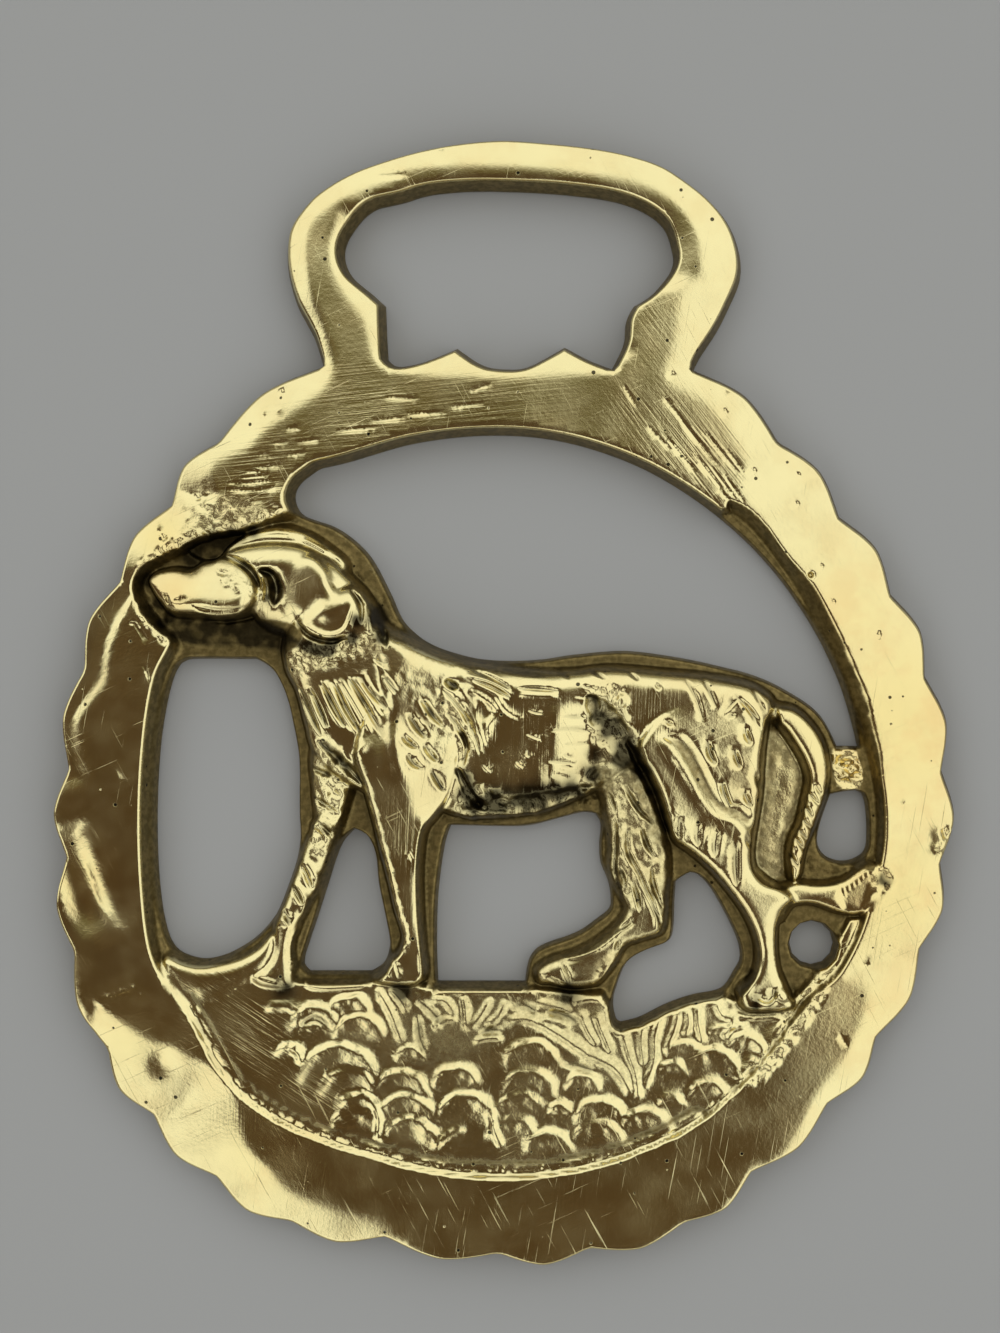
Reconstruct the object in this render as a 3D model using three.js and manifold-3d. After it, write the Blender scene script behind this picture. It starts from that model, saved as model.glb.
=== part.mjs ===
// Horse brass: a one-piece brass casting, lying on its flat back, +Y toward the hanger.
// A scalloped ring frames a standing dog in relief on a tufted ground. All sizes are in millimetres.

import * as THREE from 'three';
import { mergeVertices } from 'three/addons/utils/BufferGeometryUtils.js';
import Module from 'manifold-3d';

// Driving dimensions.
const WIDTH = 70.4;
const LENGTH = 88.0;
const RING_TOP = 2.9;
const EDGE_DROP = 0.6;
const EDGE_ROLL = 1.6;
const LEDGE_TOP = 1.5;
const GROUND_TOP = 2.45;
const TUFT_RISE = 0.4;
const RING_CENTRE = [0.1, -8.9];
const SCALLOP_RISE = 1.05;
const BLOCK_DEPTH = 6.0;
const BLOCK_MARGIN = 2.0;
const FINE_STEP = 1.2;
const COARSE_STEP = 2.4;
const CURVE_DIVISIONS = 2;

// Outer edge of the hanger, from its right crease over the top to its left crease.
const HANGER_EDGE = [
  [14.7, 26.0], [15.2, 27.0], [16.5, 29.0], [17.5, 31.0], [18.3, 33.0], [18.3, 35.0],
  [17.5, 37.3], [16.0, 39.2], [14.0, 40.8], [12.0, 42.0], [9.0, 42.9], [6.0, 43.4],
  [3.0, 43.7], [0.0, 43.9], [-3.0, 43.7], [-6.0, 43.2], [-9.0, 42.4], [-12.0, 41.3],
  [-14.5, 39.8], [-15.8, 38.5], [-16.8, 37.0], [-17.1, 35.5], [-17.0, 33.5],
  [-16.3, 31.0], [-15.0, 28.5], [-14.3, 26.3],
];

// Creases between the scallops: angle about the ring's centre in degrees, and radius.
const SCALLOP_CREASES = [
  [127.5, 37.0], [137, 35.8], [148.5, 35.4], [160.5, 35.0], [173.5, 34.4], [185, 34.5],
  [197, 35.3], [210, 36.0], [220, 36.0], [231, 36.0], [242, 35.7], [254, 34.0],
  [269, 34.0], [281, 34.2], [294, 34.5], [305, 33.6], [318.5, 33.6], [329.5, 33.6],
  [342.5, 33.9], [354, 34.1], [366, 34.2], [378.5, 34.5], [390, 34.7], [402, 35.0], [414, 36.2],
];

// The openings. Each is a list of runs: a smooth curve through its points, or one point for a line.
const STRAP_SLOT = [
  [[-9.4, 31.0]],
  [[-10.5, 32.0], [-12.0, 33.3], [-12.6, 34.8], [-12.2, 36.4], [-10.5, 38.4], [-8.0, 39.1],
    [-6.0, 39.7], [-3.0, 40.0], [0.0, 40.0], [4.0, 39.8], [8.0, 39.3], [10.5, 38.5],
    [12.2, 37.3], [12.9, 35.7], [13.0, 34.0], [11.5, 32.0], [10.0, 31.0]],
  [[9.4, 29.8], [9.2, 28.0], [8.3, 26.1]],
  [[6.5, 26.8], [4.6, 27.8]],
  [[3.0, 26.9], [1.5, 26.2], [0.0, 26.1], [-1.8, 26.4], [-3.8, 27.7]],
  [[-5.5, 27.0], [-7.0, 26.5], [-8.5, 26.3], [-9.2, 26.8]],
  [[-9.3, 28.5], [-9.4, 31.0]],
];
const BACK_WINDOW = [
  [[-14.5, 18.3]],
  [[-16.0, 17.2], [-16.5, 16.0], [-16.0, 14.8], [-15.0, 14.3], [-13.3, 13.7], [-11.6, 12.5],
    [-10.3, 11.0], [-8.9, 8.3], [-8.2, 6.7], [-7.3, 5.6], [-5.5, 4.4], [-2.0, 3.4],
    [2.0, 3.3], [5.0, 3.7], [8.0, 4.0], [10.0, 4.0], [13.0, 3.6], [16.0, 3.0],
    [20.0, 1.9], [23.6, -0.1], [25.0, -1.6], [25.9, -3.4]],
  [[27.5, -3.4]],
  [[26.9, -1.0], [25.9, 2.0], [23.8, 6.2], [20.5, 10.8], [16.0, 15.0], [10.5, 18.4],
    [4.5, 20.4], [-1.2, 20.9], [-7.0, 20.3], [-12.0, 18.9], [-14.5, 18.3]],
];
const TAIL_WINDOW = [
  [[25.4, -7.2]],
  [[27.5, -6.9], [28.1, -8.0], [28.2, -11.0], [27.6, -12.0], [26.3, -12.4], [25.0, -12.0],
    [24.4, -11.0], [24.6, -9.5], [25.4, -7.2]],
];
const CHEST_WINDOW = [
  [[-24.5, 3.4]],
  [[-19.5, 3.4]],
  [[-18.2, 2.5], [-17.2, 0.5], [-16.6, -2.0], [-16.2, -4.5], [-16.2, -8.0], [-16.2, -11.5],
    [-17.5, -15.5], [-18.3, -17.0], [-19.5, -18.3], [-21.0, -19.3], [-22.5, -19.9],
    [-24.0, -20.0], [-25.8, -19.2], [-26.7, -17.0], [-27.2, -13.0], [-27.3, -8.0],
    [-27.0, -3.0], [-26.3, 1.0], [-25.5, 3.0], [-24.5, 3.4]],
];
const FORELEG_WINDOW = [
  [[-11.8, -9.9]],
  [[-12.6, -10.7], [-13.2, -12.0], [-14.0, -14.5], [-14.8, -17.0], [-15.3, -18.5],
    [-15.8, -20.3], [-15.3, -21.0]],
  [[-10.5, -21.0]],
  [[-9.5, -20.3], [-9.1, -19.0], [-9.2, -18.0], [-9.6, -16.0], [-10.0, -14.0],
    [-10.2, -12.0], [-10.8, -10.5], [-11.8, -9.9]],
];
const BELLY_WINDOW = [
  [[-4.3, -9.6]],
  [[-4.8, -11.2], [-5.3, -15.0], [-5.4, -19.0], [-5.3, -21.8]],
  [[1.5, -21.8]],
  [[1.6, -21.0], [1.9, -19.9], [2.8, -19.0], [5.5, -18.0], [7.0, -17.0], [8.0, -16.2],
    [8.2, -15.5], [8.0, -14.0], [7.4, -12.5], [7.3, -11.0], [7.4, -9.5], [7.0, -8.7]],
  [[6.0, -8.6], [4.0, -9.1], [2.0, -9.6], [0.0, -9.7], [-4.3, -9.6]],
];
const HIND_WINDOW = [
  [[13.3, -14.0]],
  [[13.2, -15.5], [13.1, -17.7], [12.7, -18.7], [11.2, -19.3], [10.0, -19.9], [9.3, -20.6],
    [8.8, -21.8], [8.4, -23.3], [8.6, -24.7], [9.0, -25.0]],
  [[10.5, -24.6], [12.5, -23.6], [14.5, -22.9], [16.5, -22.5], [17.2, -22.0], [17.8, -21.0],
    [18.3, -20.0], [18.0, -18.3], [16.5, -15.3], [15.5, -13.9], [14.5, -13.3], [13.3, -14.0]],
];
const HOCK_HOLE = { centre: [23.9, -18.8], radius: 1.7, points: 12 };

// Inner edge of the ring's top face, all the way round.
const RING_INNER = [
  [-0.5, 20.9], [9.5, 18.9], [18.0, 13.3], [24.5, 5.2], [27.9, -2.5], [29.0, -9.0],
  [28.4, -15.0], [26.0, -21.0], [22.3, -26.0], [16.0, -32.0], [8.0, -35.9], [0.0, -37.0],
  [-8.0, -36.1], [-16.0, -33.6], [-22.0, -29.2], [-25.6, -22.5], [-27.2, -14.0],
  [-27.2, -5.0], [-26.3, 3.0], [-27.2, 8.0], [-25.5, 12.5], [-20.0, 15.5], [-13.5, 18.6],
  [-7.0, 20.3],
];

// The dog, from the back of the relief to the front. Every form is a cushion: the outline of its
// foot, the height of that foot, how far it swells, and how wide the swelling is.
const DOG_FORMS = [
  {
    part: 'far foreleg', base: 1.5, rise: 1.7, roll: 1.7,
    outline: [
      [-15.2, -3.5], [-15.2, -9.0], [-16.5, -13.0], [-18.2, -17.5], [-18.3, -19.5],
      [-20.2, -21.6], [-19.5, -22.6], [-16.6, -22.6], [-16.8, -19.0], [-15.2, -15.5],
      [-13.5, -11.0], [-12.5, -7.5], [-11.5, -4.5],
    ],
  },
  {
    part: 'far hind leg', base: 1.5, rise: 1.8, roll: 1.9,
    outline: [
      [8.0, -6.5], [8.0, -13.0], [9.4, -16.5], [7.0, -18.7], [3.2, -20.2], [2.3, -21.4],
      [3.5, -22.6], [7.2, -22.4], [8.7, -20.3], [12.2, -18.2], [12.6, -15.0], [13.2, -12.0],
      [13.0, -6.0],
    ],
  },
  {
    part: 'tail', base: 1.5, rise: 2.4, roll: 1.6,
    outline: [
      [19.0, 1.3], [21.5, -0.1], [23.8, -1.5], [25.3, -5.0], [24.9, -7.8], [23.2, -12.0],
      [22.8, -14.0], [21.8, -14.0], [21.9, -11.0], [22.9, -8.0], [22.6, -5.0], [21.5, -2.4],
      [19.0, -1.5],
    ],
  },
  {
    part: 'torso and neck', base: 1.7, rise: 2.7, roll: 4.0,
    outline: [
      [-17.4, 5.2], [-15.0, 8.5], [-11.0, 8.5], [-9.2, 5.8], [-7.0, 4.7], [-3.0, 3.1],
      [2.0, 2.5], [6.5, 2.8], [14.5, 2.2], [19.0, 1.3], [21.0, 0.0], [20.4, -3.0],
      [15.0, -7.5], [9.0, -6.8], [4.0, -8.2], [-3.0, -8.8], [-9.0, -8.0], [-13.0, -6.0],
      [-15.2, -3.5], [-16.5, 0.8], [-17.6, 3.0],
    ],
  },
  {
    part: 'haunch and near hind leg', base: 1.7, rise: 3.1, roll: 3.2,
    outline: [
      [10.0, -3.7], [12.0, -7.5], [13.3, -11.0], [16.0, -13.2], [18.7, -16.5], [19.6, -18.5],
      [19.6, -21.0], [18.0, -22.9], [18.8, -24.2], [22.6, -24.0], [21.4, -21.5],
      [21.5, -15.5], [19.6, -13.3], [19.8, -9.0], [20.3, -3.0], [19.5, 0.6], [14.0, 1.2],
    ],
  },
  {
    part: 'shoulder and near foreleg', base: 1.7, rise: 2.9, roll: 2.8,
    outline: [
      [-9.0, 0.5], [-4.8, 0.0], [-3.6, -4.0], [-5.0, -8.5], [-6.6, -10.5], [-6.7, -18.0],
      [-6.4, -22.0], [-10.3, -22.2], [-10.3, -21.2], [-8.1, -19.0], [-9.3, -14.0],
      [-10.5, -9.0], [-12.0, -4.5],
    ],
  },
  {
    part: 'skull and cheek', base: 1.7, rise: 2.6, roll: 3.2,
    outline: [
      [-23.5, 12.2], [-20.0, 13.2], [-16.0, 13.3], [-12.8, 11.4], [-10.6, 7.5], [-12.0, 5.0],
      [-16.5, 4.6], [-20.0, 6.0], [-23.0, 8.0],
    ],
  },
  {
    part: 'muzzle', base: 1.9, rise: 2.2, roll: 1.9,
    outline: [
      [-27.5, 9.4], [-26.2, 10.3], [-23.0, 10.9], [-20.4, 10.0], [-20.0, 8.0], [-22.5, 6.8],
      [-26.0, 7.0],
    ],
  },
  {
    part: 'jaw', base: 1.5, rise: 1.3, roll: 1.2,
    outline: [[-26.5, 7.0], [-20.0, 7.2], [-16.5, 5.6], [-19.0, 4.4], [-25.0, 4.6]],
  },
  {
    part: 'ear', base: 2.8, rise: 2.0, roll: 2.4,
    outline: [
      [-17.9, 9.5], [-16.5, 11.2], [-14.5, 10.8], [-12.9, 8.6], [-12.9, 6.9], [-14.3, 5.9],
      [-16.3, 6.6],
    ],
  },
];

// Bars of metal that tie the figure to the ring: centre line, half width and top.
const BARS = [
  { part: 'sprue from ring to paw', top: 2.5, half: 1.9, line: [[-26.5, -21.5], [-22.0, -21.8], [-19.0, -22.5]] },
  { part: 'bar from hock to ring', top: 2.7, half: 1.5, line: [[20.5, -14.5], [24.0, -14.2], [29.0, -14.6]] },
  { part: 'flash from tail to ring', top: 2.2, half: 1.9, line: [[25.0, -5.0], [28.5, -5.2]] },
  { part: 'nose joined to ring', top: 2.8, half: 1.6, line: [[-29.0, 7.0], [-26.5, 7.5]] },
];

// Tufts of the ground: the centre and top of each arched clump, and half its width.
const TUFTS = [
  [-14.8, -24.0, 1.8], [-11.5, -24.6, 2.0], [-13.0, -27.0, 3.2], [-12.3, -28.9, 2.0],
  [-8.3, -29.0, 2.3], [-12.0, -32.0, 1.8], [-7.7, -32.7, 2.1], [-3.0, -30.8, 2.2],
  [-3.8, -28.6, 1.7], [2.0, -26.7, 2.0], [1.8, -29.2, 2.2], [1.2, -31.6, 2.0],
  [7.3, -31.3, 2.0], [6.0, -28.6, 1.8], [10.9, -32.2, 1.8], [13.2, -28.4, 1.8],
  [16.3, -27.5, 2.0], [15.8, -30.4, 1.5],
];

const clamp01 = (t) => Math.min(1, Math.max(0, t));

// Height of a quarter round at a fraction t of its width.
const quarterRound = (t) => Math.sqrt(1 - (1 - clamp01(t)) ** 2);

// A softer swell, which leaves its foot at a slope and levels off at its crown.
const swell = (t) => Math.sin((clamp01(t) * Math.PI) / 2);

const vectors = (points) => points.map(([x, y]) => new THREE.Vector2(x, y));

function scallopCrease([degrees, radius]) {
  const angle = THREE.MathUtils.degToRad(degrees);
  return new THREE.Vector2(
    RING_CENTRE[0] + radius * Math.cos(angle),
    RING_CENTRE[1] + radius * Math.sin(angle),
  );
}

// One scallop: a bow from where the path is to the next crease, standing out to the right of it.
function addScallop(shape, start, end) {
  const along = end.clone().sub(start);
  const outward = new THREE.Vector2(along.y, -along.x).normalize();
  const crown = start.clone().add(end).multiplyScalar(0.5).addScaledVector(outward, SCALLOP_RISE);
  shape.splineThru([crown, end]);
}

function outerEdge() {
  const shape = new THREE.Shape();
  const [start, ...hanger] = vectors(HANGER_EDGE);
  shape.moveTo(start.x, start.y);
  shape.splineThru(hanger);
  let crease = hanger.at(-1);
  for (const next of [...SCALLOP_CREASES.map(scallopCrease), start]) {
    addScallop(shape, crease, next);
    crease = next;
  }
  return shape;
}

function opening([[start], ...runs]) {
  const path = new THREE.Path();
  path.moveTo(...start);
  for (const run of runs) {
    if (run.length === 1) path.lineTo(...run[0]);
    else path.splineThru(vectors(run));
  }
  return path;
}

function roundHole({ centre, radius, points }) {
  const step = (2 * Math.PI) / points;
  const rim = Array.from({ length: points }, (_, i) => new THREE.Vector2(
    centre[0] + radius * Math.cos(i * step),
    centre[1] + radius * Math.sin(i * step),
  ));
  return new THREE.Path(rim);
}

function brassOutline() {
  const shape = outerEdge();
  const windows = [
    STRAP_SLOT, BACK_WINDOW, TAIL_WINDOW, CHEST_WINDOW, FORELEG_WINDOW, BELLY_WINDOW, HIND_WINDOW,
  ];
  shape.holes = [...windows.map(opening), roundHole(HOCK_HOLE)];
  return shape;
}

// A smooth closed loop through the given points, as a polygon.
function closedLoop(points) {
  const curve = new THREE.CatmullRomCurve3(
    points.map(([x, y]) => new THREE.Vector3(x, y, 0)), true, 'centripetal',
  );
  return curve.getPoints(points.length * 3).slice(0, -1).map((p) => [p.x, p.y]);
}

function distanceToSegment(x, y, [ax, ay], [bx, by]) {
  const dx = bx - ax;
  const dy = by - ay;
  const t = clamp01(((x - ax) * dx + (y - ay) * dy) / (dx * dx + dy * dy));
  return Math.hypot(x - ax - t * dx, y - ay - t * dy);
}

function distanceToLoop(x, y, loop) {
  let nearest = Infinity;
  for (let i = 0; i < loop.length; i += 1) {
    nearest = Math.min(nearest, distanceToSegment(x, y, loop[i], loop[(i + 1) % loop.length]));
  }
  return nearest;
}

function isInside(x, y, loop) {
  let inside = false;
  for (let i = 0; i < loop.length; i += 1) {
    const [ax, ay] = loop[i];
    const [bx, by] = loop[(i + 1) % loop.length];
    const crosses = (ay > y) !== (by > y) && x < ax + ((y - ay) * (bx - ax)) / (by - ay);
    if (crosses) inside = !inside;
  }
  return inside;
}

function cushionHeight(x, y, { base, rise, roll, loop }) {
  if (!isInside(x, y, loop)) return 0;
  return base + rise * swell(distanceToLoop(x, y, loop) / roll);
}

function barHeight(x, y, { top, half, line }) {
  let nearest = Infinity;
  for (let i = 1; i < line.length; i += 1) {
    nearest = Math.min(nearest, distanceToSegment(x, y, line[i - 1], line[i]));
  }
  if (nearest > half) return 0;
  return LEDGE_TOP + (top - LEDGE_TOP) * quarterRound((half - nearest) / half);
}

// An arched clump of grass: an open-bottomed crescent that is proudest along its upper edge.
function tuftHeight(x, y, [cx, top, half]) {
  const reach = Math.hypot(x - cx, y - (top - half)) / half;
  if (y < top - half || reach > 1) return 0;
  return TUFT_RISE * quarterRound((1 - reach) * 2.5);
}

function surfaceHeight(outlineLoops, ringLoop, dogForms) {
  return (x, y) => {
    const edge = Math.min(...outlineLoops.map((loop) => distanceToLoop(x, y, loop)));
    const roll = EDGE_DROP * (1 - quarterRound(edge / EDGE_ROLL));
    if (!isInside(x, y, ringLoop)) return RING_TOP - roll;
    const onGround = y < -22.2;
    const tuft = Math.max(...TUFTS.map((each) => tuftHeight(x, y, each)));
    const floor = onGround ? GROUND_TOP + tuft - roll : LEDGE_TOP;
    const dog = Math.max(...dogForms.map((form) => cushionHeight(x, y, form)));
    const bar = Math.max(...BARS.map((each) => barHeight(x, y, each)));
    return Math.max(floor, dog, bar);
  };
}

// Grid lines across one side: finer over the figure, coarser over the plain ring.
function gridLines(low, high, fineLow, fineHigh) {
  const lines = [low];
  while (lines.at(-1) < high) {
    const here = lines.at(-1);
    lines.push(here + (here >= fineLow && here < fineHigh ? FINE_STEP : COARSE_STEP));
  }
  return lines;
}

// A closed block whose top follows the relief and whose underside lies below the back plane.
function reliefBlock(heightAt) {
  const xs = gridLines(-WIDTH / 2 - BLOCK_MARGIN, WIDTH / 2 + BLOCK_MARGIN, -29, 28);
  const ys = gridLines(-LENGTH / 2 - BLOCK_MARGIN, LENGTH / 2 + BLOCK_MARGIN, -38, 15);
  const columns = xs.length;
  const layer = columns * ys.length;
  const positions = [];
  for (const top of [true, false]) {
    for (const y of ys) {
      for (const x of xs) positions.push(x, y, top ? heightAt(x, y) : -BLOCK_DEPTH);
    }
  }
  const faces = [];
  const addQuad = (a, b, c, d) => faces.push(a, b, c, a, c, d);
  for (let j = 0; j + 1 < ys.length; j += 1) {
    for (let i = 0; i + 1 < columns; i += 1) {
      const at = j * columns + i;
      addQuad(at, at + 1, at + columns + 1, at + columns);
      addQuad(layer + at, layer + at + columns, layer + at + columns + 1, layer + at + 1);
    }
  }
  const addWall = (a, b) => addQuad(b, a, layer + a, layer + b);
  for (let i = 0; i + 1 < columns; i += 1) {
    addWall(i, i + 1);
    addWall(layer - 1 - i, layer - 2 - i);
  }
  for (let j = 0; j + 1 < ys.length; j += 1) {
    addWall((j + 1) * columns, j * columns);
    addWall((j + 1) * columns - 1, (j + 2) * columns - 1);
  }
  const geometry = new THREE.BufferGeometry();
  geometry.setAttribute('position', new THREE.Float32BufferAttribute(positions, 3));
  geometry.setIndex(faces);
  return geometry;
}

const wasm = await Module();
wasm.setup();

function toSolid(geometry) {
  const bare = geometry.clone();
  bare.deleteAttribute('normal');
  bare.deleteAttribute('uv');
  const merged = mergeVertices(bare, 1e-4);
  return new wasm.Manifold(new wasm.Mesh({
    numProp: 3,
    vertProperties: new Float32Array(merged.attributes.position.array),
    triVerts: new Uint32Array(merged.index.array),
  }));
}

function toGeometry(solid) {
  const mesh = solid.getMesh();
  const geometry = new THREE.BufferGeometry();
  geometry.setAttribute('position', new THREE.BufferAttribute(mesh.vertProperties, 3));
  geometry.setIndex(new THREE.BufferAttribute(mesh.triVerts, 1));
  return geometry;
}

// A loop's points as pairs, leaving out one that repeats the point after it.
function withoutRepeats(loop) {
  const differs = (p, i) => p.distanceTo(loop[(i + 1) % loop.length]) > 1e-4;
  return loop.filter(differs).map((p) => [p.x, p.y]);
}

function brassCasting() {
  const shape = brassOutline();
  const { shape: outer, holes } = shape.extractPoints(CURVE_DIVISIONS);
  const outlineLoops = [outer, ...holes].map(withoutRepeats);
  const dogForms = DOG_FORMS.map((form) => ({ ...form, loop: closedLoop(form.outline) }));
  const heightAt = surfaceHeight(outlineLoops, closedLoop(RING_INNER), dogForms);
  const openwork = new THREE.ExtrudeGeometry(shape, {
    depth: BLOCK_DEPTH,
    bevelEnabled: false,
    curveSegments: CURVE_DIVISIONS,
  });
  const casting = toSolid(openwork).intersect(toSolid(reliefBlock(heightAt)));
  return toGeometry(casting);
}

const polishedBrass = new THREE.MeshStandardMaterial({
  color: 0xc9a550,
  roughness: 0.3,
  metalness: 1.0,
});

const horseBrass = new THREE.Mesh(brassCasting(), polishedBrass);
horseBrass.name = 'horse_brass';

const group = new THREE.Group();
group.add(horseBrass);

export default group;
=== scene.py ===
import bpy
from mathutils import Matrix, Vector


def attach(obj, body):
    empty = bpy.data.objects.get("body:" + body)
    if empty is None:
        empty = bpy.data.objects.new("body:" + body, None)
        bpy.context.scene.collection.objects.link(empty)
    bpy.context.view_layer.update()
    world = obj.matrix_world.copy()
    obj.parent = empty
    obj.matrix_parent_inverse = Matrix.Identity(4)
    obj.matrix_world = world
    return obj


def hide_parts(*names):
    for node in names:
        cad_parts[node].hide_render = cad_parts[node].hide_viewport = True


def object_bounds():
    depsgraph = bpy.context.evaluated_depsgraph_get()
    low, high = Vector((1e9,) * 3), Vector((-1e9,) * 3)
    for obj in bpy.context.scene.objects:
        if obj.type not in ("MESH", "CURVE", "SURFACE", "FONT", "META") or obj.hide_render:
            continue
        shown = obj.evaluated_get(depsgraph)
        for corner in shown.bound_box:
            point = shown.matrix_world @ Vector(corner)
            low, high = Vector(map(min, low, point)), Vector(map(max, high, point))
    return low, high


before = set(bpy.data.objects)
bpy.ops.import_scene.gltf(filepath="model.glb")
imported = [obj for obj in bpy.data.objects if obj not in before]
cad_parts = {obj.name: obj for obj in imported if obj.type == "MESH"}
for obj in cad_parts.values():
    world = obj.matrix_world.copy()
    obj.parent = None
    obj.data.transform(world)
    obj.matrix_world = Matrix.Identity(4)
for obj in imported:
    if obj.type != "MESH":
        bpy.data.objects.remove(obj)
CAD_BOX = [list(corner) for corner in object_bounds()]

import math

import bpy
import numpy as np
from mathutils import Vector
from mathutils.geometry import delaunay_2d_cdt

# A horse brass: a scalloped ring with a strap hanger, round a standing dog on tufted ground.
# Its face is drawn form by form on a board of heights, which then becomes one closed mesh on the
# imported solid's own outline. Places are in millimetres, +X toward the tail, +Y toward the hanger.

MM = 0.001

# Heights above the flat back, in millimetres.
RING_TOP = 2.9
LEDGE_TOP = 1.5
GROUND_TOP = 2.3
RIM_HEIGHT = 0.4
HIGHEST = 4.75

BEVEL_DROP = 1.5

# The widest facet that was dressed on the ring by hand.
FACET_WIDTH = 9.0

# Spacing of the surface, in millimetres, and how many points the front has inside its edges.
FINE_STEP = 0.12
BACK_STEP = 1.2
EDGE_STEP = 0.32
SCRATCH_STEP = 0.3
FRONT_POINTS = 76000

# Rows of points that follow the edges: how far in each is on the front, and the one on the back.
FRONT_ROWS = (0.05, 0.13, 0.23, 0.36, 0.5, 0.68)
BACK_ROUND = 0.22

# The field that the lattice covers, how far from the edges it starts, and how much more a point
# counts for being in a coarser lattice too.
FIELD = ((-36, -45), (36, 45))
FIELD_MARGIN = 0.78
LEVEL_WORTH = np.array([1.0, 4.0, 1e9])

# How steeply the walls rise from the rim, and the least gap to the solid's box.
WALL_SLOPE = 5.2
HAIR = 0.001

# The board that the relief is drawn on: the size of a cell, and how many there are each way.
CELL = 0.06
COLUMNS, ROWS = 1280, 1536

# Unevenness of the metal: how wide its waves are in millimetres, and a seed.
FINE_SAND = (0.13, 21)
COARSE_SAND = (0.17, 26)
CRUMBS = (0.2, 22)
WAVER = (0.3, 5)
PLATE_RIPPLE = (1.2, 4)
HAND_DRESSED = (4.0, 3)

# The eye looks straight down from here, and the relief is drawn as it sees it.
EYE = (8.1, 7.0)
EYE_HEIGHT = 145.0


# ---------------------------------------------------------------- curves

def curve_through(points, closed=False, step=0.2):
    """A smooth curve through the points. Any numbers after x and y are carried along it."""
    p = np.array(points, float)
    n = len(p)
    if n < 3 and not closed:
        count = max(2, int(np.hypot(*(p[1] - p[0])[:2]) / step) + 1)
        return p[0] + (p[1] - p[0]) * np.linspace(0, 1, count)[:, None]
    if closed:
        q = np.vstack([p[-1], p, p[0], p[1]])
    else:
        q = np.vstack([2 * p[0] - p[1], p, 2 * p[-1] - p[-2]])
    runs = []
    for i in range(n if closed else n - 1):
        a, b, c, d = q[i:i + 4]
        gaps = [max(np.hypot(*(v - u)[:2]) ** 0.5, 1e-6) for u, v in ((a, b), (b, c), (c, d))]
        into = gaps[1] * ((b - a) / gaps[0] - (c - a) / (gaps[0] + gaps[1])) + (c - b)
        out = gaps[1] * ((d - c) / gaps[2] - (d - b) / (gaps[1] + gaps[2])) + (c - b)
        count = max(1, int(round(np.hypot(*(c - b)[:2]) / step)))
        t = (np.arange(count) / count)[:, None]
        runs.append((2 * t**3 - 3 * t**2 + 1) * b + (t**3 - 2 * t**2 + t) * into
                    + (3 * t**2 - 2 * t**3) * c + (t**3 - t**2) * out)
    if not closed:
        runs.append(p[-1:])
    return np.vstack(runs)


def along(line):
    """Distance run along a line at each of its points."""
    return np.r_[0, np.cumsum(np.hypot(*np.diff(line[:, :2], axis=0).T))]


def smooth_step(t):
    """From none to full as t goes from 0 to 1, level at both ends."""
    t = np.clip(t, 0, 1)
    return t * t * (3 - 2 * t)


def quarter_round(t):
    """Height of a quarter round at a fraction t of its width."""
    return np.sqrt(1 - (1 - np.clip(t, 0, 1)) ** 2)


def soft_max(a, b, blend):
    """The higher of two surfaces, with a fillet of about the given size where they meet."""
    h = np.clip(0.5 + 0.5 * (a - b) / blend, 0, 1)
    return b + (a - b) * h + blend * h * (1 - h)


# ---------------------------------------------------------------- the drawing board

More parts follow.
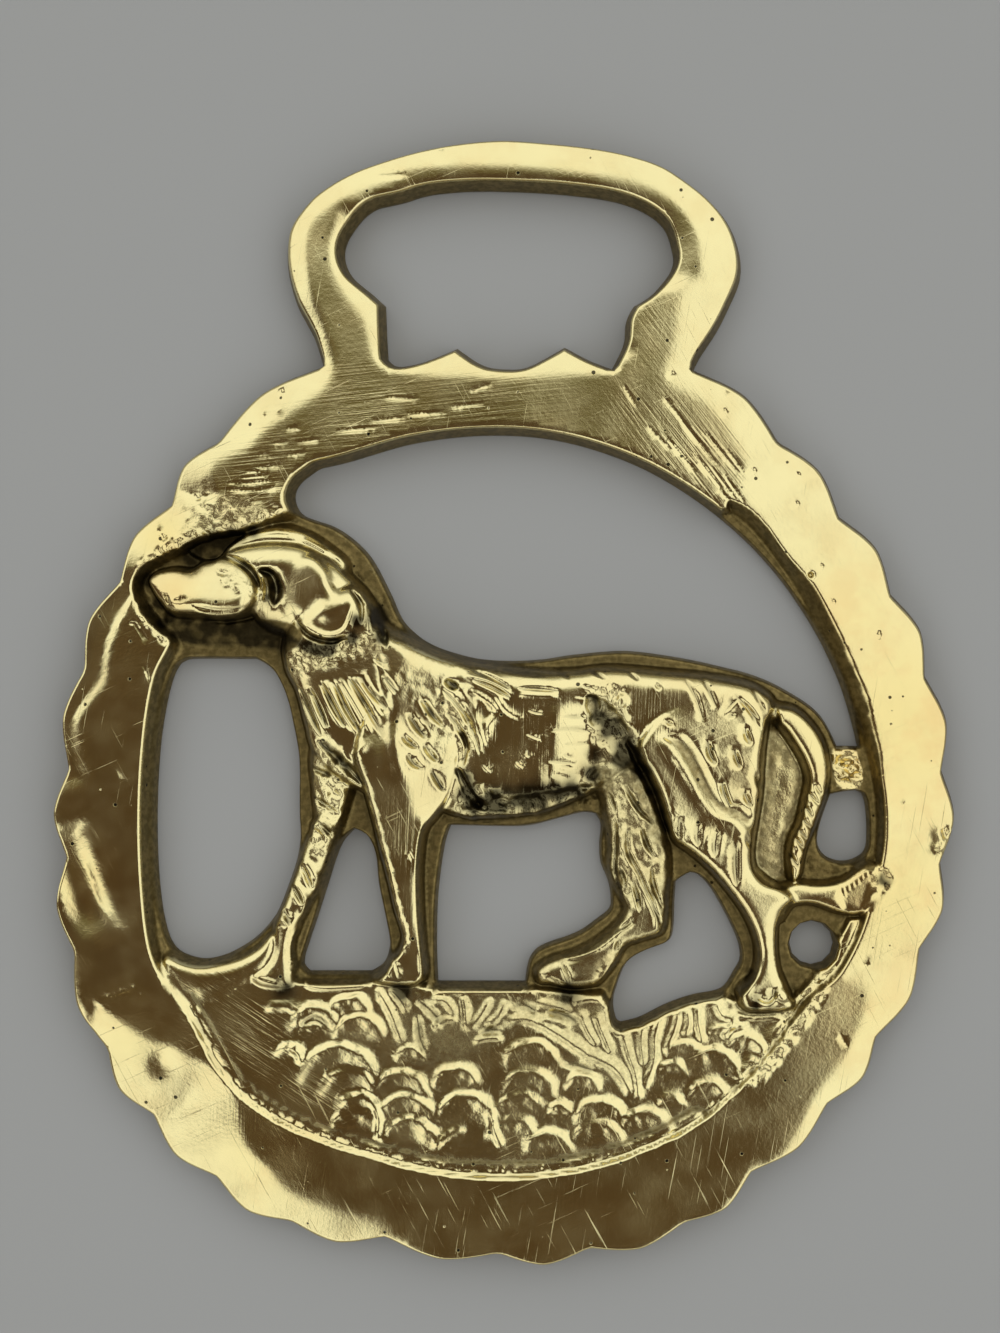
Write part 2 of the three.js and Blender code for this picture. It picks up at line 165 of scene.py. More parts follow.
class Relief:
    """A fine board of heights over the whole brass, on which the relief is built up form by form."""

    def __init__(self):
        self.x = (np.arange(COLUMNS) - COLUMNS // 2) * CELL
        self.y = (np.arange(ROWS) - ROWS // 2) * CELL
        self.z = np.full((len(self.y), len(self.x)), LEDGE_TOP)
        self.grain = np.zeros(self.z.shape)
        # How far the brass is tarnished, with painted highlights and shade along the tufts' lips and the
        # ring's foot.
        self.dull_and_painted_light = np.zeros(self.z.shape)
        # Dirt and painted shade, blackened in the hollows.
        self.shade_and_dirt = np.zeros(self.z.shape)
        self.kept_noise = {}

    def window(self, points, margin):
        """The part of the board round some points: its slices, and the places of its cells."""
        low = points[:, :2].min(0) - margin
        high = points[:, :2].max(0) + margin
        i0, i1 = np.searchsorted(self.x, (low[0], high[0]))
        j0, j1 = np.searchsorted(self.y, (low[1], high[1]))
        part = (slice(j0, j1), slice(i0, i1))
        return part, *np.meshgrid(self.x[part[1]], self.y[part[0]])

    def blur(self, values, size):
        """The values softened over about the given size."""
        rows, columns = values.shape
        fy = np.fft.fftfreq(rows, CELL)[:, None]
        fx = np.fft.rfftfreq(columns, CELL)[None, :]
        low_pass = np.exp(-2 * (math.pi * size) ** 2 * (fx**2 + fy**2))
        return np.fft.irfft2(np.fft.rfft2(values) * low_pass, s=values.shape)

    def noise(self, size, seed):
        """Smooth random values with a spread of one, that vary over about the given size."""
        if (size, seed) not in self.kept_noise:
            spots = np.random.default_rng(seed).standard_normal(self.z.shape)
            smooth = self.blur(spots, size)
            self.kept_noise[size, seed] = smooth / smooth.std()
        return self.kept_noise[size, seed]

    def coarse(self, function, skip=6):
        """A smooth function of place, worked out on a few cells and filled in between."""
        xs, ys = self.x[::skip], self.y[::skip]
        values = function(*np.meshgrid(xs, ys))
        across = np.array([np.interp(self.x, xs, row) for row in values])
        place = np.interp(self.y, ys, np.arange(len(ys)))
        low = np.minimum(place.astype(int), len(ys) - 2)
        part = (place - low)[:, None]
        return across[low] * (1 - part) + across[low + 1] * part

    def slopes(self):
        """How fast the surface rises to the right and upwards."""
        down, across = np.gradient(self.z, CELL)
        return across, down

    def detail(self):
        """How sharply the surface bends, place by place."""
        across, down = self.slopes()
        bend = np.gradient(across, CELL, axis=1) ** 2 + np.gradient(down, CELL, axis=0) ** 2
        return np.sqrt(np.maximum(self.blur(bend, 0.12), 0))

    def sample(self, values, px, py):
        """Values of a board at scattered places."""
        fx = np.clip((px - self.x[0]) / CELL, 0, len(self.x) - 1.001)
        fy = np.clip((py - self.y[0]) / CELL, 0, len(self.y) - 1.001)
        i, j = fx.astype(int), fy.astype(int)
        tx, ty = fx - i, fy - j
        low = values[j, i] * (1 - tx) + values[j, i + 1] * tx
        high = values[j + 1, i] * (1 - tx) + values[j + 1, i + 1] * tx
        return low * (1 - ty) + high * ty


def distance_to(line, x, y, closed=False):
    """Distance to a line, and how far along it the nearest place is, as a fraction."""
    nearest = np.full(x.shape, 1e9)
    place = np.zeros(x.shape)
    points = np.vstack([line, line[:1]]) if closed else line
    run = along(points)
    for k in range(len(points) - 1):
        a, b = points[k, :2], points[k + 1, :2]
        d = b - a
        length = d @ d
        if length < 1e-12:
            continue
        t = np.clip(((x - a[0]) * d[0] + (y - a[1]) * d[1]) / length, 0, 1)
        gap = (x - a[0] - t * d[0]) ** 2 + (y - a[1] - t * d[1]) ** 2
        closer = gap < nearest
        nearest = np.where(closer, gap, nearest)
        place = np.where(closer, run[k] + t * (run[k + 1] - run[k]), place)
    return np.sqrt(nearest), place / run[-1]


def is_inside(loop, x, y):
    """Whether each place lies within a closed loop."""
    inside = np.zeros(x.shape, bool)
    for (ax, ay), (bx, by) in zip(loop[:, :2], np.roll(loop, -1, axis=0)[:, :2]):
        if ay != by:
            crosses = (ay > y) != (by > y)
            inside ^= crosses & (x < ax + (y - ay) * (bx - ax) / (by - ay))
    return inside


def signed_distance(loop, x, y):
    """Distance to a closed loop, positive inside it."""
    gap, _ = distance_to(loop, x, y, closed=True)
    return np.where(is_inside(loop, x, y), gap, -gap)


def spread_heights(spots, x, y):
    """A smooth surface through a few heights, each given as x, y, z: a plane, eased to fit."""
    if np.isscalar(spots):
        return spots
    p = np.array(spots, float)
    plane, *_ = np.linalg.lstsq(np.c_[np.ones(len(p)), p[:, :2]], p[:, 2], rcond=None)
    total = weight = 0.0
    for sx, sy, sz in p:
        w = 1 / ((x - sx) ** 2 + (y - sy) ** 2 + 2.0)
        total = total + w * (sz - plane @ (1, sx, sy))
        weight = weight + w
    return plane[0] + plane[1] * x + plane[2] * y + total / weight


def lay_form(board, outline, lip, crown, roll, wall=0.3, blend=0.12):
    """A cushion with a steep wall: its lip is at the outline, and it swells to its crown inside."""
    loop = curve_through(outline, closed=True)
    part, x, y = board.window(loop, wall + 0.1)
    gap = signed_distance(loop, x, y)
    under = board.z[part]
    lip_here = spread_heights(lip, x, y)
    top = lip_here + (spread_heights(crown, x, y) - lip_here) * quarter_round(gap / roll)
    flank = under + np.maximum(lip_here - under, 0) * smooth_step(1 + gap / wall)
    board.z[part] = np.where(gap > 0, soft_max(top, under, blend) - blend / 4, flank)


def lay_ridge(board, line, width, height, blunt=0.15):
    """A raised ridge along a line, tapered at both ends, on whatever is there."""
    path = curve_through(line)
    part, x, y = board.window(path, width)
    gap, place = distance_to(path, x, y)
    taper = np.clip(np.minimum(place, 1 - place) / blunt, 0, 1) ** 0.6
    board.z[part] += height * taper * np.exp(-((gap / (width * 0.5)) ** 2))


def cut_groove(board, line, width, depth, rim=0.0):
    """A leaf-shaped groove, deepest at its middle, with the metal thrown up along its sides."""
    path = curve_through(line)
    part, x, y = board.window(path, width * 1.6)
    gap, place = distance_to(path, x, y)
    leaf = np.sqrt(np.clip(4 * place * (1 - place), 0, 1))
    half = np.maximum(width * 0.5 * leaf, 0.02)
    hollow = np.clip(1 - (gap / half) ** 2, 0, 1)
    lip = np.exp(-(((gap - half * 1.25) / (width * 0.28)) ** 2)) * leaf
    board.z[part] += rim * lip - depth * hollow * np.sqrt(leaf)
    # Deeper grooves are blackened along their bed: dirt and painted shade.
    if depth > 0.05:
        board.shade_and_dirt[part] = np.maximum(board.shade_and_dirt[part], 1.2 * depth * hollow)


def cut_grooves(board, width, depth, rim, *lines):
    """The same cut along several lines."""
    for line in lines:
        cut_groove(board, line, width, depth, rim)


def lay_ridges(board, width, height, *lines):
    """The same ridge along several lines."""
    for line in lines:
        lay_ridge(board, line, width, height)


def lay_dome(board, x, y, radius, height, flat=0.0):
    """A round boss, or a dimple where the height is below nothing."""
    part, px, py = board.window(np.array([(x, y)]), radius * 1.3)
    t = (np.hypot(px - x, py - y) / radius - flat) / (1 - flat)
    board.z[part] += height * (1 - smooth_step(t))


def fall_away(board, crest, reach=FACET_WIDTH, soft=0.25):
    """Metal dressed away on the left of a crest line: each point carries its own slope."""
    path = curve_through(crest, step=0.4)
    part, x, y = board.window(path, FACET_WIDTH)
    nearest = np.full(x.shape, 1e9)
    side = np.zeros(x.shape)
    slope = np.zeros(x.shape)
    last = len(path) - 2
    for k, (a, b) in enumerate(zip(path, path[1:])):
        d = b[:2] - a[:2]
        length = d @ d
        if length < 1e-3:
            continue
        t = ((x - a[0]) * d[0] + (y - a[1]) * d[1]) / length
        past = np.maximum(-t, 0) * (k == 0) + np.maximum(t - 1, 0) * (k == last)
        fade = 1 - smooth_step(past * math.sqrt(length) / 1.5)
        t = np.clip(t, 0, 1)
        ox, oy = x - a[0] - t * d[0], y - a[1] - t * d[1]
        gap = ox * ox + oy * oy
        closer = gap < nearest
        nearest = np.where(closer, gap, nearest)
        side = np.where(closer, d[0] * oy - d[1] * ox, side)
        slope = np.where(closer, (a[2] + t * (b[2] - a[2])) * fade, slope)
    gap = np.where(side > 0, np.sqrt(nearest), 0.0)
    slope *= 1 - smooth_step((gap - reach - 1) / 2)
    gap = np.minimum(gap, reach)
    board.z[part] -= slope * (np.sqrt(gap**2 + soft**2) - soft)


def tilt(board, outline, rise_x, rise_y, soft=1.2):
    """An area hammered or filed to a slant of its own, by so much per millimetre each way."""
    loop = curve_through(outline, closed=True, step=0.5)
    part, x, y = board.window(loop, soft)
    amount = smooth_step(0.5 + signed_distance(loop, x, y) / soft)
    middle = loop.mean(0)
    board.z[part] += amount * (rise_x * (x - middle[0]) + rise_y * (y - middle[1]))


def leave_dull(board, outline, amount, soft=0.6):
    """An area that the buff never reached; below nothing, one that it reached best."""
    loop = curve_through(outline, closed=True, step=0.5)
    part, x, y = board.window(loop, soft)
    board.dull_and_painted_light[part] += amount * smooth_step(0.5 + signed_distance(loop, x, y) / soft)


def paint_dirt_and_shade(board, *spots):
    """Old polish and dirt packed in the hollows, with painted shade there too, each spot with a radius."""
    for x, y, radius in spots:
        part, px, py = board.window(np.array([(x, y)]), radius * 2)
        near = np.exp(-((px - x) ** 2 + (py - y) ** 2) / radius**2)
        board.shade_and_dirt[part] = np.maximum(board.shade_and_dirt[part], near)


def paint_dirt_and_shade_area(board, outline, amount, soft=0.6):
    """The same, over an area."""
    loop = curve_through(outline, closed=True, step=0.5)
    part, x, y = board.window(loop, soft)
    within = amount * smooth_step(0.5 + signed_distance(loop, x, y) / soft)
    board.shade_and_dirt[part] = np.maximum(board.shade_and_dirt[part], within)


def roughen(board, outline, sand, height, soft=0.6, grain=1.0):
    """Grain left by the sand, over an area with a soft edge."""
    loop = curve_through(outline, closed=True, step=0.5)
    part, x, y = board.window(loop, soft)
    amount = smooth_step(0.5 + signed_distance(loop, x, y) / soft)
    board.z[part] += height * amount * board.noise(*sand)[part]
    board.grain[part] = np.maximum(board.grain[part], grain * amount)


# ---------------------------------------------------------------- the casting's outline

def casting_outlines():
    """The outer edge and the openings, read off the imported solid's flat back, metal on the left."""
    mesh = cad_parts["horse_brass"].data
    keys = [tuple(round(c / MM, 3) for c in v.co) for v in mesh.vertices]
    edges = {}
    for face in mesh.polygons:
        corners = [keys[i] for i in face.vertices]
        if max(c[2] for c in corners) > 0.001:
            continue
        for a, b in zip(corners, corners[1:] + corners[:1]):
            if edges.get(a) == b:
                continue
            edges.setdefault((b, a), 0)
            edges[(b, a)] += 1
    border = {a: b for (a, b) in edges if (b, a) not in edges}
    loops = []
    while border:
        start, here = next(iter(border.items()))
        loop = [start]
        del border[start]
        while here != start:
            loop.append(here)
            here = border.pop(here)
        loops.append(np.array(loop)[:, :2])
    return loops


def resample_outline(loop, step):
    """The loop with even points, smooth between its corners, and its corners kept."""
    before = loop - np.roll(loop, 1, axis=0)
    after = np.roll(loop, -1, axis=0) - loop
    turn = np.arctan2(before[:, 0] * after[:, 1] - before[:, 1] * after[:, 0],
                      (before * after).sum(1))
    corners = np.flatnonzero(np.abs(turn) > math.radians(28))
    if len(corners) == 0:
        return curve_through(loop, closed=True, step=step)
    loop = np.roll(loop, -corners[0], axis=0)
    stops = list(corners - corners[0]) + [len(loop)]
    ring = np.vstack([loop, loop[:1]])
    runs = []
    for a, b in zip(stops, stops[1:]):
        fine = curve_through(ring[a:b + 1], step=0.1)
        run = along(fine)
        count = max(2, int(round(run[-1] / step)))
        s = np.linspace(0, run[-1], count + 1)[:-1]
        runs.append(np.c_[np.interp(s, run, fine[:, 0]), np.interp(s, run, fine[:, 1])])
    return np.vstack(runs)


def inward_normals(loop):
    """The way from each point of a loop into the metal, which is on its left."""
    ahead = np.roll(loop, -1, axis=0) - np.roll(loop, 1, axis=0)
    normal = np.c_[-ahead[:, 1], ahead[:, 0]]
    normal = normal + np.roll(normal, 1, axis=0) + np.roll(normal, -1, axis=0)
    return normal / np.hypot(*normal.T)[:, None]


# ---------------------------------------------------------------- the relief

# Where the ring's face stops and steps down to the figure and its ground.
RING_INNER = [
    (-0.5, 20.7), (9.5, 18.7), (18.0, 13.1), (24.6, 5.2), (28.2, -2.5), (29.4, -9.0),
    (28.6, -15.0), (26.0, -21.0), (24.0, -22.8), (22.3, -25.1), (20.5, -27.6), (18.0, -30.3),
    (15.0, -32.8), (12.0, -34.4), (8.0, -35.9), (4.0, -36.8), (0.0, -37.1), (-4.0, -36.9),
    (-7.0, -36.4), (-10.0, -35.6), (-13.0, -34.7), (-16.0, -33.6), (-19.0, -32.0),
    (-21.0, -30.4), (-22.8, -28.1), (-23.9, -25.9), (-25.2, -23.6), (-27.2, -20.5),
    (-28.2, -14.0), (-28.2, -5.0), (-27.2, 2.0), (-26.0, 4.9), (-27.3, 5.9), (-28.4, 7.2),
    (-29.1, 9.0), (-28.7, 10.2), (-27.0, 11.3), (-25.0, 12.1), (-22.8, 12.9), (-20.5, 13.5),
    (-18.8, 14.1), (-16.6, 14.9), (-15.0, 17.0), (-13.0, 18.9), (-7.0, 20.3),
]

# Crests of the facets dressed on the ring by hand: the metal falls away on the left of each,
# and each point carries the slope there.
LOOP_AND_RIGHT_SIDE = [
    (-28.8, 10.4, 0.12), (-27.3, 11.7, 0.2), (-25.7, 12.7, 0.2), (-24.3, 13.6, 0.18),
    (-23.3, 14.6, 0.14), (-22.8, 15.6, 0.2), (-22.6, 16.7, 0.2), (-22.9, 17.6, 0.2),
    (-22.6, 18.6, 0.2), (-21.5, 19.2, 0.2), (-20.0, 19.9, 0.2), (-18.8, 21.2, 0.2),
    (-17.2, 22.5, 0.17), (-15.4, 23.6, 0.17), (-14.0, 24.7, 0.2), (-13.3, 26.3, 0.26),
    (-13.6, 28.0, 0.3), (-14.3, 30.0, 0.32), (-15.1, 32.0, 0.34), (-15.5, 34.0, 0.36),
    (-15.6, 36.3, 0.36), (-15.0, 38.0, 0.26), (-13.0, 39.4, 0.16), (-11.0, 40.3, 0.14),
    (-9.0, 41.0, 0.14), (-7.6, 41.8, 0.14), (-5.0, 42.1, 0.12), (-1.0, 42.2, 0.12),
    (3.0, 41.8, 0.11), (7.0, 41.3, 0.1), (10.0, 40.8, 0.1), (12.0, 40.0, 0.1),
    (13.5, 38.8, 0.1), (14.5, 37.2, 0.1), (14.7, 35.3, 0.1), (14.3, 33.5, 0.1),
    (13.6, 32.0, 0.1), (13.3, 30.0, 0.1), (12.9, 28.0, 0.1), (12.5, 26.0, 0.12),
    (12.9, 24.9, 0.1), (14.4, 24.1, 0.1), (16.0, 23.1, 0.1), (17.2, 21.8, 0.1),
    (18.0, 20.3, 0.1), (18.8, 18.8, 0.09), (18.3, 17.4, 0.08), (18.7, 16.0, 0.07),
    (20.3, 14.0, 0.06), (22.0, 11.5, 0.06), (23.9, 9.4, 0.06), (25.2, 7.0, 0.06),
    (26.4, 4.6, 0.06), (27.6, 2.0, 0.06), (28.4, 0.0, 0.06), (29.0, -3.0, 0.06),
    (29.4, -6.0, 0.07), (29.5, -10.0, 0.07), (29.0, -13.0, 0.07), (28.2, -17.0, 0.07),
    (26.5, -20.3, 0.07), (26.3, -21.8, 0.07), (28.2, -22.7, 0.09), (28.1, -24.6, 0.14),
    (27.3, -26.4, 0.16), (26.3, -28.4, 0.18), (25.0, -29.9, 0.2), (23.9, -31.6, 0.2),
    (23.2, -33.2, 0.2), (22.0, -34.8, 0.16), (20.5, -35.6, 0.1),
]
LOOP_INSIDE = [
    (15.6, 34.0, 0.1), (15.3, 36.5, 0.1), (14.3, 38.3, 0.1), (12.5, 39.8, 0.1), (10.0, 40.8, 0.1),
    (7.0, 41.3, 0.1), (3.0, 41.8, 0.1), (-1.0, 42.1, 0.1), (-5.0, 42.0, 0.1), (-7.6, 41.7, 0.08),
    (-9.0, 40.9, 0.08), (-11.0, 40.2, 0.05), (-13.0, 39.2, 0.02),
]
SLOT_LIP = [
    (-13.4, 38.2, 0.2), (-14.1, 36.4, 0.2), (-13.9, 34.0, 0.2), (-12.9, 32.0, 0.18),
    (-11.4, 30.0, 0.18), (-10.9, 28.0, 0.2), (-10.3, 26.6, 0.24), (-8.0, 25.9, 0.2),
    (-5.0, 25.6, 0.17), (0.0, 25.4, 0.16), (5.0, 25.7, 0.16), (8.3, 26.0, 0.2), (9.4, 26.9, 0.2),
]
LOWER_LEFT = [
    (-8.4, -41.0, 0.06), (-11.0, -40.2, 0.12), (-14.0, -39.6, 0.16), (-17.3, -38.2, 0.14),
    (-18.6, -36.6, 0.12), (-20.3, -34.8, 0.11), (-20.9, -32.0, 0.1), (-21.6, -30.0, 0.1),
    (-23.3, -28.3, 0.11), (-25.2, -27.5, 0.1), (-27.5, -26.6, 0.1), (-29.5, -25.5, 0.14),
    (-31.5, -24.2, 0.16),
]
LEFT_LOBE = [(-30.3, -17.2, 0.1), (-31.2, -15.6, 0.35), (-32.1, -13.0, 0.4), (-32.9, -10.4, 0.25)]
UPPER_LEFT = [
    (-33.2, -5.4, 0.4), (-33.6, -3.6, 0.5), (-33.6, -1.2, 0.5), (-32.6, 0.2, 0.5),
    (-31.5, 1.8, 0.5), (-31.3, 3.6, 0.5), (-30.8, 5.4, 0.5), (-29.8, 7.2, 0.5), (-28.9, 8.6, 0.4),
]


def lay_ring(board):
    """The ring and hanger: a plain plate all round, dressed by hand, so never quite flat."""
    loop = curve_through(RING_INNER, closed=True, step=0.5)
    outside = -board.coarse(lambda x, y: signed_distance(loop, x, y), skip=4)
    board.outside = outside
    plate = np.full(board.z.shape, RING_TOP) + 0.035 * board.noise(*HAND_DRESSED)
    plate += 0.008 * board.noise(*PLATE_RIPPLE)
    ledge = board.z
    board.z = plate
    fall_away(board, LOOP_AND_RIGHT_SIDE)
    fall_away(board, LOOP_INSIDE, reach=3.0)
    fall_away(board, SLOT_LIP, reach=3.0, soft=0.15)
    fall_away(board, LOWER_LEFT, soft=0.2)
    fall_away(board, LEFT_LOBE, reach=1.0, soft=0.1)
    fall_away(board, UPPER_LEFT, reach=0.35, soft=0.05)
    lay_dome(board, -27.0, -28.4, 1.7, -0.12)
    low = smooth_step((-22.0 - board.y) / 2.0)[:, None]
    uneven = 0.03 * board.noise(*WAVER) * low
    rise = smooth_step((outside + uneven) / (0.75 - 0.1 * low) + 0.5)
    board.z = ledge + (board.z - ledge) * rise


def wide_bevel(board):
    """The broad slope down to the back window, all along the ring's right side."""
    top = curve_through([
        (17.5, 15.9), (18.8, 15.3), (20.2, 14.0), (22.0, 11.5), (23.9, 9.3), (25.2, 7.0), (26.4, 4.6),
        (27.5, 2.0), (28.3, 0.0), (28.7, -2.0), (29.2, -4.0), (29.4, -6.0), (29.5, -10.0),
        (29.2, -12.0), (28.8, -13.2),
    ])
    foot = curve_through([
        (17.4, 15.2), (19.3, 13.6), (21.3, 11.2), (23.0, 8.6), (24.3, 6.0), (25.2, 3.7), (26.3, 0.5),
        (27.0, -2.0), (27.6, -4.0), (28.0, -6.0), (28.2, -9.0), (28.1, -11.5), (27.8, -12.9),
    ])
    loop = np.vstack([top, foot[::-1]])
    part, x, y = board.window(loop, 2.0)
    to_top, _ = distance_to(top, x, y)
    to_foot, _ = distance_to(foot, x, y)
    on_bevel = is_inside(loop, x, y)
    beyond_foot = ~on_bevel & (to_foot < to_top)
    within = on_bevel | (beyond_foot & (to_foot < 1.6) & (y < 15) & (y > -12.9))
    share = np.where(beyond_foot, 1.0, to_top / (to_top + to_foot + 1e-6))
    bevel = RING_TOP - 0.05 - BEVEL_DROP * share
    board.z[part] = np.where(within, np.minimum(board.z[part], bevel), board.z[part])
    leave_dull(board, loop, 1.0, soft=0.25)


# The upper edge of the ground, from left to right.
GROUND_EDGE = [
    (-27.0, -21.0), (-20.0, -21.6), (-16.0, -21.9), (-10.5, -21.9), (-6.0, -22.3), (2.2, -22.4),
    (5.0, -22.8), (7.6, -22.8), (8.4, -24.4), (9.0, -25.2), (12.5, -23.8), (14.5, -23.3),
    (17.0, -22.9), (18.5, -23.6), (20.0, -24.2), (22.0, -24.0), (24.5, -21.0), (27.0, -17.0),
]


def lay_ground(board):
    """The ground: its upper edge rounded, and its rim raised along the ring."""
    x, y = np.meshgrid(board.x, board.y)
    top_edge = np.interp(board.x, *np.array(GROUND_EDGE).T)
    below = top_edge[None, :] - y
    on_ground = smooth_step(below / 0.35 + 0.5) * smooth_step(-board.outside / 0.35 + 0.35)
    height = GROUND_TOP + 0.15 * quarter_round(below / 3.0) - 0.006 * np.maximum(x, 0)
    height += 0.25 * smooth_step(1 + board.outside / 1.6) * smooth_step((-22 - y) / 3)
    board.z = board.z + (np.maximum(height, board.z) - board.z) * on_ground


# Outlines of the dog's parts, each at the foot of its form.
FAR_FORELEG = [
    (-15.2, -3.5), (-15.2, -7.0), (-15.1, -9.2), (-15.8, -11.2), (-16.6, -13.4), (-17.5, -15.8),
    (-18.2, -17.6), (-18.3, -19.3), (-18.9, -20.6), (-20.2, -21.6), (-19.4, -22.4), (-16.8, -22.4),
    (-16.7, -21.0), (-16.8, -19.0), (-16.2, -17.3), (-15.2, -15.3), (-14.4, -13.5), (-13.5, -11.0),
    (-12.8, -9.0), (-12.3, -7.0), (-11.5, -4.5),
]
FAR_HIND_LEG = [
    (6.5, -4.0), (7.6, -8.0), (8.1, -11.0), (8.1, -13.0), (8.8, -14.9), (9.3, -16.3), (8.5, -17.5),
    (7.0, -18.7), (5.3, -19.6), (3.3, -20.2), (2.3, -21.0), (2.6, -22.0), (3.6, -22.2),
    (5.2, -22.5), (7.1, -22.2), (8.0, -21.3), (8.7, -20.3), (9.4, -19.2), (10.7, -18.7),
    (12.2, -18.1), (12.5, -17.0), (12.6, -15.0), (12.8, -13.0), (12.4, -10.0), (11.0, -5.0),
]
TAIL = [
    (19.4, 1.2), (21.1, -0.1), (22.6, -0.5), (23.9, -1.6), (24.9, -3.2), (25.3, -5.2),
    (25.1, -7.0), (24.3, -9.3), (23.4, -11.7), (22.9, -13.8), (22.5, -14.0), (22.2, -12.6),
    (22.3, -11.0), (23.0, -9.4), (23.4, -7.6), (23.7, -6.0), (23.3, -4.6), (22.5, -3.2),
    (21.8, -2.2), (21.2, -1.6), (20.2, 0.0),
]
TAIL_RECESS = [
    (20.7, -2.3), (21.8, -2.4), (22.6, -3.6), (23.3, -5.2), (23.2, -7.4), (22.6, -9.4),
    (21.9, -11.4), (22.0, -13.2), (21.4, -14.3), (20.3, -13.9), (19.6, -13.2), (19.5, -11.6),
    (19.9, -9.2), (20.2, -6.5), (20.3, -4.3),
]
TORSO = [
    (-17.5, 5.2), (-15.5, 8.0), (-12.0, 9.2), (-10.4, 7.6), (-9.4, 6.0), (-7.3, 4.8),
    (-5.0, 3.7), (-3.0, 3.0), (-1.0, 2.7), (2.0, 2.4), (5.0, 2.4), (8.0, 2.7), (12.0, 2.4),
    (16.0, 2.0), (19.5, 1.2), (21.0, 0.0), (20.3, -2.6), (19.8, -6.0), (17.0, -8.5),
    (13.0, -7.5), (10.4, -5.0), (8.0, -6.3), (5.5, -7.5), (3.0, -8.5), (0.0, -8.9), (-3.0, -9.0),
    (-5.2, -8.5), (-9.0, -8.0), (-13.0, -6.0), (-15.2, -3.8), (-15.8, -1.8), (-16.5, 0.8),
    (-17.4, 2.8),
]
HAUNCH = [
    (10.1, -3.9), (11.1, -5.5), (12.0, -7.4), (12.6, -9.4), (13.3, -10.9), (14.6, -11.9),
    (16.0, -13.1), (17.4, -14.7), (18.7, -16.5), (19.5, -18.2), (19.8, -20.0), (19.4, -21.5),
    (18.3, -22.7), (18.8, -24.0), (21.0, -24.2), (22.4, -23.8), (21.9, -22.4), (21.3, -20.8),
    (21.2, -18.0), (21.6, -16.4), (22.4, -15.4), (21.5, -14.6), (20.2, -14.1), (19.5, -13.2),
    (19.3, -12.0), (19.6, -9.6), (20.0, -7.0), (20.1, -4.4), (20.4, -2.2), (20.4, -0.6),
    (18.6, 0.6), (15.0, 0.6), (12.0, -0.8),
]
SHOULDER = [
    (-9.5, 1.0), (-7.0, 1.6), (-4.6, 0.6), (-3.8, -2.0), (-3.8, -5.0), (-4.6, -7.6),
    (-5.6, -9.0), (-6.4, -10.0), (-6.8, -12.5), (-6.8, -16.0), (-6.6, -19.0), (-6.5, -21.6),
    (-7.6, -22.2), (-9.2, -22.1), (-10.3, -21.7), (-9.8, -20.8), (-8.4, -19.6), (-8.1, -18.6),
    (-8.7, -16.5), (-9.3, -14.0), (-10.0, -11.3), (-10.6, -9.0), (-11.3, -6.7), (-12.0, -4.5),
    (-11.6, -2.0),
]
SKULL = [
    (-22.6, 11.2), (-21.6, 12.0), (-18.8, 12.6), (-16.2, 12.4), (-14.0, 11.4), (-12.4, 10.0),
    (-11.0, 8.5), (-9.9, 6.4), (-11.2, 5.2), (-14.0, 4.8), (-17.0, 5.2), (-19.0, 5.9),
    (-20.2, 7.4), (-20.4, 8.8), (-21.4, 10.2),
]
MUZZLE = [
    (-28.0, 9.6), (-27.4, 10.1), (-26.2, 10.35), (-24.8, 10.3), (-23.7, 10.9), (-22.5, 11.2),
    (-21.1, 10.9), (-20.1, 10.1), (-19.6, 9.1), (-19.6, 8.0), (-20.4, 7.0), (-22.4, 6.6),
    (-24.4, 6.8), (-26.2, 7.0), (-27.1, 7.8), (-27.7, 8.7),
]
JAW = [
    (-27.0, 7.3), (-25.0, 7.4), (-21.0, 7.3), (-18.0, 6.9), (-16.3, 5.6), (-17.6, 4.6),
    (-21.0, 4.5), (-24.5, 4.6), (-26.4, 5.4),
]
BROW = [
    (-22.4, 12.0), (-20.8, 13.2), (-18.0, 13.9), (-15.8, 13.4), (-13.8, 12.2), (-12.4, 10.8),
    (-13.0, 9.6), (-20.0, 10.5),
]
EAR = [
    (-17.7, 9.7), (-17.3, 10.9), (-16.2, 11.6), (-14.9, 11.4), (-13.9, 10.4), (-13.5, 9.3),
    (-12.8, 8.0), (-12.8, 6.9), (-13.4, 6.1), (-14.6, 5.9), (-15.8, 6.3), (-16.8, 6.6),
    (-17.5, 7.6),
]


